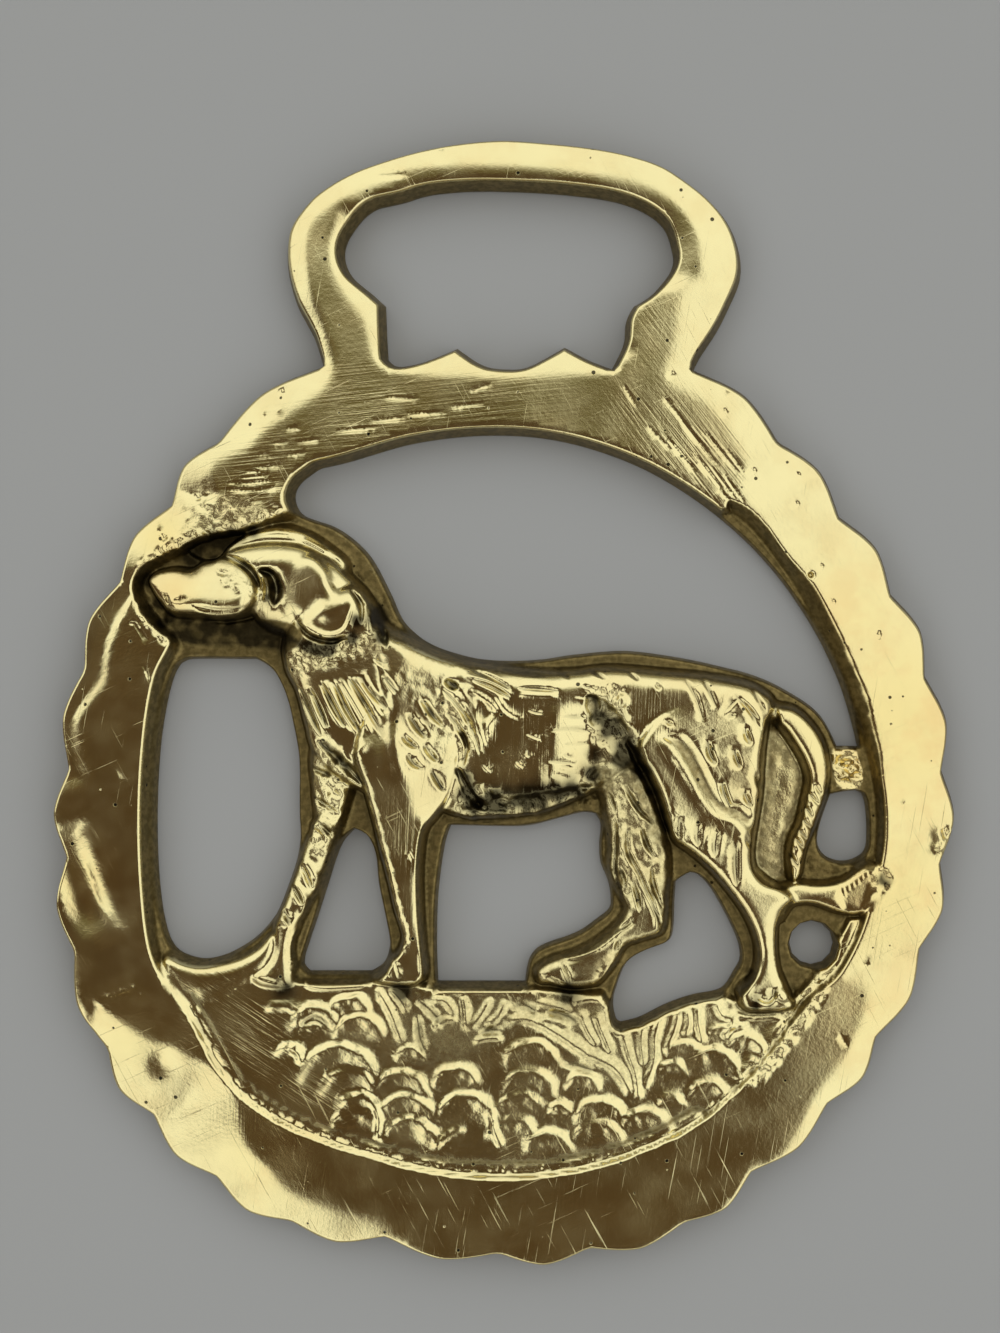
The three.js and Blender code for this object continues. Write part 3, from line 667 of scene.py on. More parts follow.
def lay_dog(board):
    """The dog, built up from its far legs to its ear."""
    lay_form(board, FAR_FORELEG, lip=2.2, crown=2.8, roll=0.9)
    lay_form(board, FAR_HIND_LEG, lip=2.2, crown=[(8, -6, 3.1), (12, -12, 2.9), (10, -16, 3.0),
                                                  (4, -21, 3.0)], roll=1.1)
    lay_form(board, TAIL, lip=2.7, crown=[(21, -1, 3.7), (24.5, -3, 3.4), (24.5, -6, 3.35),
                                          (23, -12, 3.2)], roll=0.7)
    lay_form(board, TORSO, lip=2.9, crown=[
        (-16, 3, 3.9), (-9, 3, 4.55), (-13, -2, 3.9), (-2, 0, 4.2), (2, -3, 4.15), (4, -2, 4.15),
        (7, -3, 3.6), (10, 1, 4.25), (18, 1, 4.3), (16, -7, 3.7),
    ], roll=1.7)
    lay_form(board, HAUNCH, lip=3.2, crown=[
        (12.6, -0.5, 4.1), (19.6, -0.5, 3.9), (13, -3.5, 4.45), (19.6, -3.5, 4.3), (13, -8, 4.4),
        (19, -9, 4.1), (16, -12, 4.1), (19.8, -16, 3.8), (20.4, -21, 3.5),
    ], roll=0.7)
    lay_form(board, SHOULDER, lip=3.2, crown=[
        (-9.5, 0.5, 3.9), (-5, 0.5, 3.7), (-9.2, -5, 4.5), (-5, -4, 4.1), (-5.4, -7, 4.0), (-9, -10, 4.2),
        (-7.8, -16, 4.0), (-8.2, -21, 3.6),
    ], roll=0.4)
    lay_form(board, JAW, lip=1.6, crown=1.9, roll=1.0)
    lay_form(board, BROW, lip=2.0, crown=[(-20, 12.9, 2.5), (-16.5, 13.6, 2.5), (-17.5, 12.3, 3.0),
                                          (-13, 11, 2.7)], roll=0.6)
    lay_form(board, SKULL, lip=2.5, crown=[(-21, 10, 3.6), (-17, 10, 4.0), (-12, 8, 3.6), (-14, 6, 3.6)],
             roll=1.9)
    lay_form(board, MUZZLE, lip=3.2, crown=[(-25.5, 8.0, 4.3), (-21.5, 8.0, 4.4), (-24, 10, 3.9),
                                            (-26.8, 9, 3.75)], roll=1.5)
    lay_form(board, EAR, lip=3.4, crown=[(-17, 8.5, 3.95), (-15.8, 10.5, 4.15), (-13.4, 8.5, 4.5),
                                         (-15, 7, 4.1)], roll=1.1)


def lay_ties(board):
    """The bars and runs of metal that tie the figure to the ring."""
    lay_form(board, [(-26.8, -20.0), (-24.0, -20.6), (-21.5, -20.3), (-19.6, -19.4), (-18.4, -18.3),
                     (-18.2, -19.6), (-19.0, -21.0), (-20.4, -22.2), (-23.0, -23.5), (-26.0, -24.0)],
             lip=2.2, crown=2.7, roll=1.2)
    lay_form(board, [(19.5, -13.4), (21.2, -14.5), (23.0, -14.2), (24.5, -14.3), (26.3, -14.0),
                     (28.6, -12.6), (30.0, -14.0), (28.0, -16.5), (26.3, -16.5), (24.0, -15.8),
                     (22.6, -16.0), (21.4, -17.4), (20.0, -16.5)],
             lip=2.6, crown=3.0, roll=0.8)
    # Where the bar from the hock meets the ring, its end is filed into ribs.
    part, x, y = board.window(np.array([(26.2, -16.6), (28.9, -12.4)]), 0.3)
    on_plate = smooth_step(signed_distance(curve_through([
        (26.1, -13.7), (27.5, -12.8), (28.7, -12.5), (28.7, -14.5), (27.7, -16.6), (26.4, -16.3),
    ], closed=True), x, y) / 0.2)
    board.z[part] -= on_plate * (0.12 - 0.05 * np.sin((x + 0.25 * y) * 2 * math.pi / 0.42))


def carve_head(board):
    """Eye, nose, lips, brow and the turned edge of the ear."""
    # The deep hollow between the brow and the ring.
    hollow = curve_through([
        (-25.2, 12.0), (-23.2, 13.0), (-20.7, 13.3), (-21.9, 12.2), (-23.1, 11.1), (-24.2, 11.2),
    ], closed=True)
    part, x, y = board.window(hollow, 0.3)
    sunk = smooth_step(signed_distance(hollow, x, y) / 0.35 + 0.4)
    board.z[part] += (1.1 - board.z[part]) * sunk
    # The muzzle, its nose and lips, and the eye.
    cut_grooves(board, 0.7, 0.4, 0.0, [(-22.6, 11.6), (-21.1, 11.1), (-20.0, 10.2), (-19.4, 9.0)])
    cut_grooves(board, 0.35, 0.12, 0.03, [(-27.2, 9.9), (-26.7, 8.5), (-26.2, 7.2)],
                [(-26.0, 8.0), (-24.9, 8.1)])
    cut_grooves(board, 1.0, 0.75, 0.0, [(-19.5, 10.4), (-18.6, 10.1), (-18.1, 9.0), (-18.3, 7.6)])
    lay_ridges(board, 0.34, 0.3, [(-19.0, 10.0), (-18.75, 9.2), (-18.9, 7.9)])
    lay_ridges(board, 0.3, 0.2, [(-24.5, 7.15), (-22.3, 6.75), (-20.1, 7.1)])
    cut_grooves(board, 0.35, 0.12, 0.0, [(-24.6, 7.6), (-22.3, 7.25), (-20.3, 7.5)])
    cut_grooves(board, 0.5, 0.25, 0.0, [(-24.8, 6.8), (-22.3, 6.4), (-19.4, 6.8)])
    # Hairs of the brow and jaw.
    lay_ridges(board, 0.3, 0.1, [(-21.2, 12.45), (-18.8, 12.95), (-16.4, 12.85)],
               [(-20.4, 13.0), (-18.0, 13.35), (-16.2, 13.1)],
               [(-24.8, 6.35), (-23.6, 6.5)], [(-23.9, 5.5), (-22.9, 5.3)],
               [(-20.9, 5.15), (-20.1, 5.1)], [(-19.5, 4.85), (-18.6, 4.4)])
    lay_ridges(board, 0.28, 0.2, [(-16.0, 12.8), (-15.0, 12.3), (-14.0, 11.7)])
    # The ear, with its turned edge and the folds behind it.
    lay_dome(board, -14.3, 7.2, 1.2, 0.14)
    lay_ridges(board, 0.4, 0.2, [(-16.2, 6.9), (-15.5, 5.8), (-14.0, 5.2), (-12.7, 5.6),
                                 (-12.1, 6.7), (-11.7, 7.9)])
    lay_ridges(board, 0.35, 0.3, [(-11.4, 8.8), (-10.7, 7.6)], [(-10.6, 6.9), (-10.5, 5.4)],
               [(-10.0, 6.0), (-9.6, 5.0)])
    cut_grooves(board, 0.5, 0.4, 0.0, [(-12.1, 8.9), (-11.3, 7.6), (-11.3, 6.2)],
                [(-16.6, 6.4), (-15.6, 5.3), (-13.9, 4.75), (-12.3, 5.2)])
    cut_grooves(board, 0.9, 0.5, 0.05, [(-10.3, 7.4), (-9.8, 6.0), (-9.3, 4.3)])
    cut_grooves(board, 0.35, 0.12, 0.02, [(-12.2, 10.2), (-11.2, 9.2)], [(-13.6, 11.4), (-12.8, 10.7)])
    # Skin left by the sand, and the old dirt round the muzzle and under the jaw, with painted shade in the
    # hollow above the muzzle and under the jaw.
    roughen(board, [(-22.9, 10.6), (-21.6, 10.4), (-20.4, 9.4), (-20.8, 8.5), (-22.0, 9.0)],
            FINE_SAND, 0.06, soft=0.4)
    roughen(board, [(-20.2, 9.0), (-19.5, 9.4), (-19.2, 8.0), (-19.8, 7.4)], FINE_SAND, 0.07, soft=0.3)
    roughen(board, [(-26.4, 6.6), (-22.0, 6.3), (-17.6, 6.2), (-17.5, 4.6), (-25.0, 4.9)],
            CRUMBS, 0.05, soft=0.5, grain=0.4)
    leave_dull(board, [(-26.6, 6.8), (-22.0, 6.5), (-17.8, 6.4), (-16.0, 5.4), (-17.0, 4.0),
                       (-25.0, 4.4)], 1.0)
    leave_dull(board, [(-26.0, 11.6), (-23.2, 13.2), (-20.4, 13.4), (-17.0, 13.9), (-13.0, 12.2),
                       (-16.0, 12.9), (-20.6, 12.4), (-22.6, 10.8), (-26.0, 10.6)], 0.1)
    paint_dirt_and_shade_area(board, [(-28.4, 7.6), (-27.2, 6.5), (-24.5, 6.5), (-22.0, 6.2), (-19.0, 6.5), (-17.6, 5.7),
                      (-15.8, 4.7), (-13.4, 4.3), (-13.6, 3.7), (-16.5, 3.9), (-19.0, 4.2), (-22.0, 4.4),
                      (-25.0, 4.6), (-27.0, 5.5)], 0.8)
    paint_dirt_and_shade_area(board, [(-25.4, 11.7), (-23.0, 12.8), (-20.8, 13.4), (-21.4, 12.5), (-22.7, 11.6),
                      (-24.2, 10.8)], 0.6, soft=0.4)
    paint_dirt_and_shade(board, (-27.6, 7.6, 0.5), (-26.6, 6.5, 0.7), (-25.2, 6.0, 0.8), (-23.6, 5.8, 0.9),
               (-22.0, 5.6, 1.0), (-20.4, 5.6, 1.0), (-18.8, 5.3, 0.9), (-17.4, 4.6, 0.8), (-15.8, 4.5, 0.6),
               (-28.4, 9.6, 0.5), (-25.0, 11.3, 0.7), (-24.0, 11.9, 0.9),
               (-22.8, 12.4, 0.9), (-21.4, 12.9, 0.7), (-20.0, 13.4, 0.5), (-18.4, 9.2, 0.6),
               (-18.5, 8.2, 0.5), (-11.6, 6.4, 0.5), (-10.2, 6.8, 0.8), (-9.8, 5.2, 0.6),
               (-13.8, 4.6, 0.5), (-12.2, 5.0, 0.5))


def carve_fur(board):
    """Locks of the chest and shoulder, hairs of the back, nicks on the flank."""
    # The slant of the shoulder, and the bright patch of the flank with its cross cuts.
    tilt(board, [(-9.4, 5.0), (-4.0, 3.0), (-2.8, 0.0), (-3.2, -4.0), (-5.2, -8.8), (-6.4, -9.0),
                 (-8.8, -5.0), (-9.4, 0.0)], -0.12, 0.02)
    tilt(board, [(3.8, -0.6), (6.8, -0.4), (7.0, -3.0), (6.4, -6.0), (3.4, -6.4), (3.4, -3.0)],
         -0.14, 0.0, soft=1.3)
    cut_grooves(board, 0.35, 0.14, 0.0, [(4.4, -1.1), (6.4, -1.2)], [(3.4, -2.2), (6.4, -2.0)],
                [(4.6, -3.3), (6.6, -3.2)], [(3.2, -4.6), (5.4, -4.8)], [(3.4, -5.7), (5.0, -5.9)])
    cut_grooves(
        board, 0.5, 0.26, 0.05,
        [(-16.3, 1.2), (-15.3, -1.2), (-14.6, -2.6)], [(-15.5, 1.2), (-14.6, -0.8), (-14.0, -2.3)],
        [(-14.6, 1.6), (-13.6, -0.4), (-12.7, -2.0)], [(-13.7, 1.9), (-12.6, -0.5), (-11.3, -2.8)],
        [(-12.4, 1.9), (-11.0, -0.4), (-9.5, -2.9)], [(-11.6, 2.1), (-10.4, 0.5), (-9.3, -0.7)],
        [(-9.7, 2.1), (-9.1, 1.4), (-8.6, 0.7)], [(-10.4, 3.4), (-9.6, 3.0), (-9.0, 2.5)],
    )
    lay_ridges(board, 0.4, 0.14, [(-13.1, 1.9), (-11.8, -0.3), (-10.6, -2.4)],
               [(-14.2, 1.7), (-13.0, -0.6), (-12.0, -2.2)], [(-12.0, 2.0), (-10.7, 0.1), (-9.5, -1.6)],
               [(-10.9, -3.1), (-11.5, -3.8), (-12.2, -4.3)])
    cut_grooves(
        board, 0.6, 0.34, 0.03,
        [(-7.7, -1.0), (-7.0, -2.0), (-6.2, -2.9)], [(-6.7, 0.3), (-5.9, -0.9), (-5.0, -1.9)],
        [(-8.2, -2.6), (-7.6, -3.2), (-7.0, -3.6)], [(-7.8, -4.1), (-7.3, -4.8), (-6.6, -5.2)],
        [(-6.5, -3.3), (-6.0, -4.0), (-5.4, -4.7)], [(-5.9, -5.4), (-5.4, -6.2), (-4.9, -7.0)],
    )
    cut_grooves(
        board, 0.42, 0.2, 0.04,
        [(-5.0, 1.0), (-3.6, -0.6), (-2.6, -2.4), (-2.0, -4.2)],
        [(-4.6, -0.9), (-3.6, -2.2), (-2.9, -4.0)], [(-4.1, -1.9), (-3.2, -3.2), (-3.4, -5.0)],
        [(-2.7, 2.6), (-1.2, 2.0), (0.5, 1.0)], [(-2.6, 1.8), (-1.2, 1.2), (0.4, 0.3)],
        [(-0.7, 2.6), (1.4, 2.3), (3.3, 2.1)], [(1.0, 1.1), (2.6, 1.05), (4.2, 0.9)],
        [(3.9, 2.5), (4.5, 2.3), (5.0, 1.9)], [(6.4, 2.6), (7.1, 2.3), (7.8, 1.8)],
        [(9.6, 2.4), (10.0, 2.1), (10.4, 1.7)], [(11.7, 1.5), (12.1, 1.0)], [(12.5, -1.5), (13.1, -1.8)],
    )
    lay_ridges(board, 0.3, 0.13, [(-0.8, 0.6), (0.1, -0.7), (1.3, -1.3)],
               [(-3.0, 0.9), (-2.0, 0.5), (-0.7, -0.6)], [(-0.9, -1.1), (-1.4, -2.0), (-1.3, -3.1)],
               [(-3.2, 2.2), (-1.0, 1.55), (0.4, 0.7)], [(1.0, 0.6), (2.6, 0.5), (4.0, 0.5)],
               [(-4.9, 1.3), (-3.2, -0.1), (-2.2, -2.0), (-1.6, -3.8)])
    cut_grooves(
        board, 0.28, 0.12, 0.06,
        [(1.7, -0.65), (3.0, -0.9)], [(1.6, -2.5), (2.9, -2.95)], [(0.7, -4.6), (1.5, -5.2)],
        [(-1.8, -4.8), (-1.1, -5.5)], [(1.4, -4.0), (2.0, -4.3)], [(4.4, -4.0), (5.2, -4.4)],
        [(4.2, -5.0), (5.2, -5.1)], [(5.5, 0.4), (7.0, 0.4)], [(6.0, 1.3), (6.9, 1.1)],
        [(8.7, 0.8), (8.6, -0.5)], [(-2.1, -6.4), (-1.2, -7.4)], [(-7.6, -11.6), (-7.3, -12.3)],
        [(5.0, -2.2), (6.8, -2.3)], [(3.4, -6.6), (4.4, -6.9)],
    )
    cut_grooves(board, 0.9, 0.4, 0.0, [(-4.8, 1.7), (-3.8, 1.1)])
    lay_dome(board, -3.7, -4.5, 0.6, -0.1, flat=0.2)
    lay_dome(board, -1.7, -0.8, 0.95, -0.15, flat=0.3)
    # The hollow of the flank, and the undercut line of the belly.
    cut_grooves(board, 2.6, 0.5, 0.0, [(6.4, 0.6), (7.8, -1.4), (9.2, -3.2), (10.8, -5.6)])
    cut_grooves(board, 0.9, 0.45, 0.0, [(9.4, -3.0), (10.6, -5.2), (11.9, -8.0), (12.9, -10.6)],
                [(-3.9, -5.2), (-3.0, -7.0), (-2.0, -8.4)], [(-14.8, -3.0), (-13.2, -4.5), (-11.0, -6.8)])
    cut_grooves(board, 1.6, 0.45, 0.0, [(-2.8, -8.1), (0.5, -8.0), (3.5, -7.7), (6.6, -6.6)])
    roughen(board, [(-17.0, 3.8), (-13.0, 5.0), (-10.6, 5.4), (-10.4, 4.0), (-13.0, 3.2), (-17.0, 2.0)],
            FINE_SAND, 0.05, soft=0.8)
    roughen(board, [(-9.4, 5.4), (-6.6, 4.4), (-3.6, 3.2), (-4.6, 1.6), (-6.0, -0.4), (-8.6, 0.8)],
            FINE_SAND, 0.016, soft=1.0, grain=0.5)
    roughen(board, [(-5.6, 0.6), (-3.6, 0.2), (-2.4, -3.0), (-3.0, -4.4), (-5.4, -4.4)],
            FINE_SAND, 0.025, soft=0.6, grain=0.8)
    roughen(board, [(-3.0, -6.6), (1.0, -7.2), (5.4, -6.6), (6.6, -4.6), (8.0, -5.0), (7.0, -8.2),
                    (2.0, -9.4), (-4.0, -9.4)], COARSE_SAND, 0.12, soft=0.8)
    leave_dull(board, [(-3.4, -6.4), (1.0, -7.0), (5.4, -6.4), (6.8, -5.0), (8.4, -5.6), (7.4, -8.4),
                       (2.0, -9.6), (-4.6, -9.4)], 0.25)
    leave_dull(board, [(6.4, 0.6), (8.6, -0.2), (10.4, -4.0), (13.4, -10.6), (12.4, -12.0), (10.4, -8.0),
                       (8.2, -4.0), (6.4, -1.4)], 0.2, soft=0.9)
    # Dirt and painted shade in the hollow of the flank, along the undercut of the belly and where the feet
    # meet the ground.
    paint_dirt_and_shade(board, (7.4, -0.8, 0.8), (8.2, -2.0, 1.0), (9.4, -3.4, 0.9), (10.6, -5.4, 0.7),
               (-3.2, -6.0, 0.6), (-3.0, -7.2, 0.8), (-2.4, -8.0, 1.0), (-1.0, -7.8, 1.1), (0.2, -7.7, 1.1),
               (1.4, -7.6, 1.1), (2.6, -7.4, 1.1), (3.8, -7.2, 1.0), (5.2, -6.8, 0.9), (6.6, -5.6, 0.7),
               (7.0, -4.2, 0.6), (11.4, -7.2, 0.5), (-8.2, -22.6, 0.8), (5.0, -22.7, 0.9), (20.0, -23.7, 0.8),
               (-17.6, -22.6, 0.8), (9.2, -4.4, 0.8))
    roughen(board, [(6.6, 1.2), (9.0, 1.4), (9.6, -1.6), (10.8, -4.4), (7.6, -3.8), (6.4, -1.6)],
            COARSE_SAND, 0.09, soft=0.7)
    roughen(board, [(-15.0, -3.6), (-12.6, -4.6), (-12.9, -8.0), (-13.8, -12.0), (-15.6, -11.6),
                    (-15.2, -7.0)], COARSE_SAND, 0.09, soft=0.6)


def carve_legs(board):
    """Streaks and tendons of the far legs, the edge and toes of the near ones."""
    cut_grooves(
        board, 0.5, 0.26, 0.05,
        [(-16.0, -12.9), (-15.2, -14.6)], [(-16.8, -14.4), (-15.9, -15.9)],
        [(-17.4, -16.2), (-16.9, -17.5)], [(-15.2, -5.2), (-13.8, -5.9)], [(-15.2, -7.4), (-13.4, -8.6)],
        [(-14.6, -9.4), (-13.6, -10.6)],
    )
    lay_ridges(board, 0.5, 0.2, [(-16.0, -12.1), (-14.7, -14.0), (-14.9, -15.4)],
               [(-16.9, -13.8), (-15.8, -15.2), (-15.9, -17.0)], [(-17.9, -16.9), (-16.9, -17.4)],
               [(-15.0, -9.0), (-13.6, -9.9)])
    lay_ridges(board, 0.3, 0.22, [(-16.1, -17.4), (-16.8, -18.9), (-16.7, -21.4)],
               [(-6.5, -9.1), (-6.9, -12.0), (-6.85, -16.0), (-6.65, -19.0), (-6.55, -21.5)])
    cut_grooves(board, 0.28, 0.1, 0.03, [(-19.5, -21.6), (-17.6, -22.1)], [(-19.0, -20.9), (-17.5, -22.0)])
    lay_dome(board, -8.3, -19.1, 0.5, 0.18)
    cut_grooves(board, 0.3, 0.14, 0.04, [(-9.6, -20.5), (-9.2, -21.7)], [(-8.7, -20.0), (-8.3, -21.8)])
    cut_grooves(
        board, 0.45, 0.26, 0.05,
        [(9.5, -9.8), (9.6, -11.8), (10.4, -13.4), (11.2, -15.2), (12.2, -17.4)],
        [(9.9, -14.0), (10.3, -15.3), (10.5, -16.4)], [(8.5, -9.0), (8.6, -11.2), (8.5, -13.0), (9.1, -15.4)],
        [(10.6, -9.8), (11.1, -11.3), (11.7, -12.2)], [(11.4, -12.9), (11.6, -14.4), (12.3, -16.2)],
        [(8.9, -12.9), (9.4, -14.6)], [(8.0, -7.0), (8.6, -8.6)], [(9.2, -6.4), (10.4, -8.4), (11.6, -9.6)],
    )
    lay_ridges(board, 0.4, 0.16, [(9.9, -12.6), (10.8, -14.4), (11.7, -16.6), (11.8, -18.0)],
               [(9.0, -9.4), (9.1, -11.6), (9.7, -12.9)], [(10.6, -13.0), (11.4, -14.9), (12.4, -15.9)])
    lay_ridges(board, 0.35, 0.2, [(9.8, -17.3), (8.4, -18.4), (7.2, -19.3), (5.4, -19.9), (4.0, -19.9)],
               [(8.6, -20.0), (7.9, -21.0), (7.4, -21.8)])
    cut_grooves(board, 0.4, 0.25, 0.05, [(9.9, -17.1), (9.0, -17.8)], [(8.8, -18.7), (8.6, -19.5)])
    cut_grooves(board, 0.3, 0.16, 0.1, [(4.3, -20.0), (4.7, -21.2), (5.1, -22.2)],
                [(3.0, -21.3), (3.9, -21.9), (4.7, -22.2)], [(7.1, -20.8), (7.7, -20.9)])
    roughen(board, [(7.4, -5.0), (10.6, -5.2), (12.4, -9.8), (12.9, -12.9), (9.0, -15.0), (8.0, -12.0)],
            COARSE_SAND, 0.045, soft=0.7, grain=0.7)
    leave_dull(board, FAR_HIND_LEG, 0.32, soft=0.8)
    leave_dull(board, FAR_FORELEG, 0.2, soft=0.8)
    lay_dome(board, 21.7, -22.9, 0.75, 0.3, flat=0.3)
    cut_grooves(board, 0.6, 0.3, 0.06, [(18.3, -22.9), (18.9, -21.9), (19.5, -21.0)],
                [(19.4, -22.9), (20.6, -23.4), (21.2, -22.2)])


def carve_haunch(board):
    """The swung groove of the haunch, its leaf cuts and hems, and the tail."""
    # The groove has an even width, with round ends.
    path = curve_through([
        (12.3, -2.7), (13.5, -3.0), (14.8, -4.8), (15.9, -7.0), (17.0, -8.4), (18.4, -8.7),
        (19.2, -9.7), (19.5, -10.9),
    ])
    part, x, y = board.window(path, 1.6)
    gap, place = distance_to(path, x, y)
    half = 0.62 * np.sqrt(np.clip(np.minimum(place / 0.12, (1 - place) / 0.2), 0, 1)) + 0.02
    board.z[part] -= 0.3 * smooth_step(1.3 - gap / half)
    lay_ridges(board, 0.9, 0.16, [(12.2, -3.1), (13.6, -4.6), (14.8, -6.6), (16.0, -8.4), (17.8, -9.5),
                                  (18.9, -10.9)])
    roughen(board, [(12.4, -2.9), (13.6, -3.6), (15.2, -6.4), (16.6, -8.2), (16.0, -8.6), (14.4, -6.4),
                    (13.0, -4.2)], FINE_SAND, 0.02, soft=0.3, grain=0.7)
    leave_dull(board, [(13.0, -2.9), (14.4, -3.4), (15.6, -5.6), (17.0, -8.0), (19.0, -8.8), (19.2, -9.6),
                       (17.2, -8.8), (15.6, -7.4), (14.2, -5.0)], 0.5, soft=0.4)
    cut_grooves(
        board, 0.6, 0.32, 0.03,
        [(15.8, -3.0), (16.0, -4.1), (16.5, -4.9)], [(17.9, -3.7), (18.1, -4.5), (18.4, -5.2)],
        [(18.7, -2.0), (18.9, -2.7), (19.2, -3.3)], [(16.9, -6.1), (17.1, -7.2), (17.6, -8.2)],
        [(18.6, -6.9), (18.9, -7.6), (19.2, -8.2)], [(19.6, -5.3), (19.8, -6.2), (20.2, -7.0)],
    )
    cut_grooves(
        board, 0.4, 0.2, 0.04,
        [(14.0, 1.9), (14.8, 0.6), (15.5, -1.5)], [(15.2, 2.2), (15.9, 1.0), (16.5, -0.4)],
        [(18.0, 0.6), (19.0, -0.6), (20.1, -2.4)], [(19.2, 1.2), (19.9, 0.0), (20.4, -0.9)],
        [(17.0, -0.9), (17.5, -0.3), (18.2, 0.4)], [(17.4, -1.1), (18.0, -1.0)],
        [(18.4, 0.2), (19.4, -0.9), (20.0, -1.6)],
    )
    cut_grooves(
        board, 0.7, 0.22, 0.06,
        [(13.6, -9.0), (13.5, -10.0), (13.7, -10.8)], [(15.2, -9.5), (15.0, -10.4), (15.1, -11.2)],
        [(16.7, -9.9), (16.4, -11.0), (16.4, -12.1)], [(18.1, -10.8), (18.0, -12.6), (18.1, -14.4)],
        [(18.8, -10.2), (19.2, -11.4)],
    )
    roughen(board, [(13.0, -8.6), (14.0, -9.0), (14.4, -10.8), (13.6, -10.9)], FINE_SAND, 0.04, soft=0.4)
    # The recess between haunch and tail, and the tail's own hairs.
    recess = curve_through(TAIL_RECESS, closed=True)
    part, x, y = board.window(recess, 0.5)
    sunk = smooth_step(signed_distance(recess, x, y) / 0.5 + 0.1)
    floor_height = 2.75 + 0.3 * quarter_round(signed_distance(recess, x, y) / 1.6)
    board.z[part] += (np.minimum(floor_height, board.z[part]) - board.z[part]) * sunk
    roughen(board, [(21.0, -3.0), (22.2, -4.4), (22.6, -7.0), (21.6, -10.0), (21.2, -13.4), (20.3, -13.2),
                    (20.2, -10.0), (20.9, -6.0)], FINE_SAND, 0.03, soft=0.5)
    leave_dull(board, TAIL_RECESS, -0.55)
    cut_grooves(
        board, 0.4, 0.26, 0.08,
        [(23.6, -7.0), (24.6, -8.1)], [(23.2, -9.1), (24.1, -10.1)], [(22.5, -10.4), (23.4, -11.6)],
        [(22.1, -11.7), (22.9, -12.9)], [(24.2, -6.4), (24.7, -7.2)], [(23.4, -8.1), (24.0, -9.0)],
        [(22.9, -9.9), (23.6, -10.8)],
    )
    cut_grooves(board, 0.5, 0.35, 0.05, [(20.9, 0.5), (21.2, -0.9), (21.4, -2.2)])
    roughen(board, [(22.9, -11.8), (24.4, -12.1), (26.2, -12.5), (26.0, -13.6), (24.4, -14.0), (23.0, -13.7)],
            FINE_SAND, 0.06, soft=0.4)


def lay_scale(board, x, y, half, height, lean=0.0):
    """A tuft like a fish scale: an arched lip, steep on its outside and long sloped within."""
    part, px, py = board.window(np.array([(x, y)]), half * 2.0 + 0.6)
    rise = half * 0.95
    foot = y - rise
    t = np.linspace(-0.15, math.pi + 0.15 + lean, 30)
    arch = np.c_[x - half * np.cos(t), foot + rise * np.sin(t)]
    gap, place = distance_to(arch, px, py)
    outer = np.hypot((px - x) / half, (py - foot) / rise) > 1
    taper = np.clip(np.minimum(place, 1 - place) / 0.3, 0, 1) ** 0.8
    gap = np.abs(np.where(outer, gap, -gap) + 0.07 * board.noise(*WAVER)[part])
    lip = np.exp(-((gap / np.where(outer, 0.26, 0.35 + 0.35 * half)) ** 2))
    worn_and_highlit = np.exp(-((gap / np.where(outer, 0.35, 0.2)) ** 2))
    board.z[part] = np.maximum(board.z[part], board.floor[part] + height * taper * lip)
    # The lip is left less tarnished, wider on its outer side: wear and a painted highlight.
    board.dull_and_painted_light[part] -= 0.15 * taper * worn_and_highlit


# Tufts of the ground: the middle and top of each, and half its width.
TUFTS = [
    (-15.0, -24.0, 1.8), (-12.3, -23.2, 1.4), (-11.6, -24.7, 1.9), (-13.1, -27.0, 2.9),
    (-17.0, -27.0, 0.8), (-12.3, -28.9, 2.0), (-7.5, -27.1, 1.1), (-8.3, -29.1, 2.2),
    (-11.9, -32.0, 1.8), (-11.6, -30.9, 1.7), (-7.9, -31.0, 2.3), (-7.6, -32.7, 2.1),
    (-3.9, -28.7, 1.7), (-3.2, -30.8, 2.2), (2.0, -26.7, 2.1), (1.7, -29.0, 2.0), (1.2, -30.9, 2.1),
    (0.4, -32.6, 1.8), (3.3, -33.9, 1.8), (6.0, -29.3, 1.2), (7.4, -31.3, 2.0), (7.2, -33.0, 1.9),
    (10.9, -32.1, 1.8), (13.0, -30.9, 1.0), (13.0, -28.3, 1.1), (14.0, -26.8, 1.2),
    (16.3, -27.4, 2.0), (15.9, -29.8, 1.6), (18.8, -26.2, 1.3), (4.2, -31.6, 0.9),
]


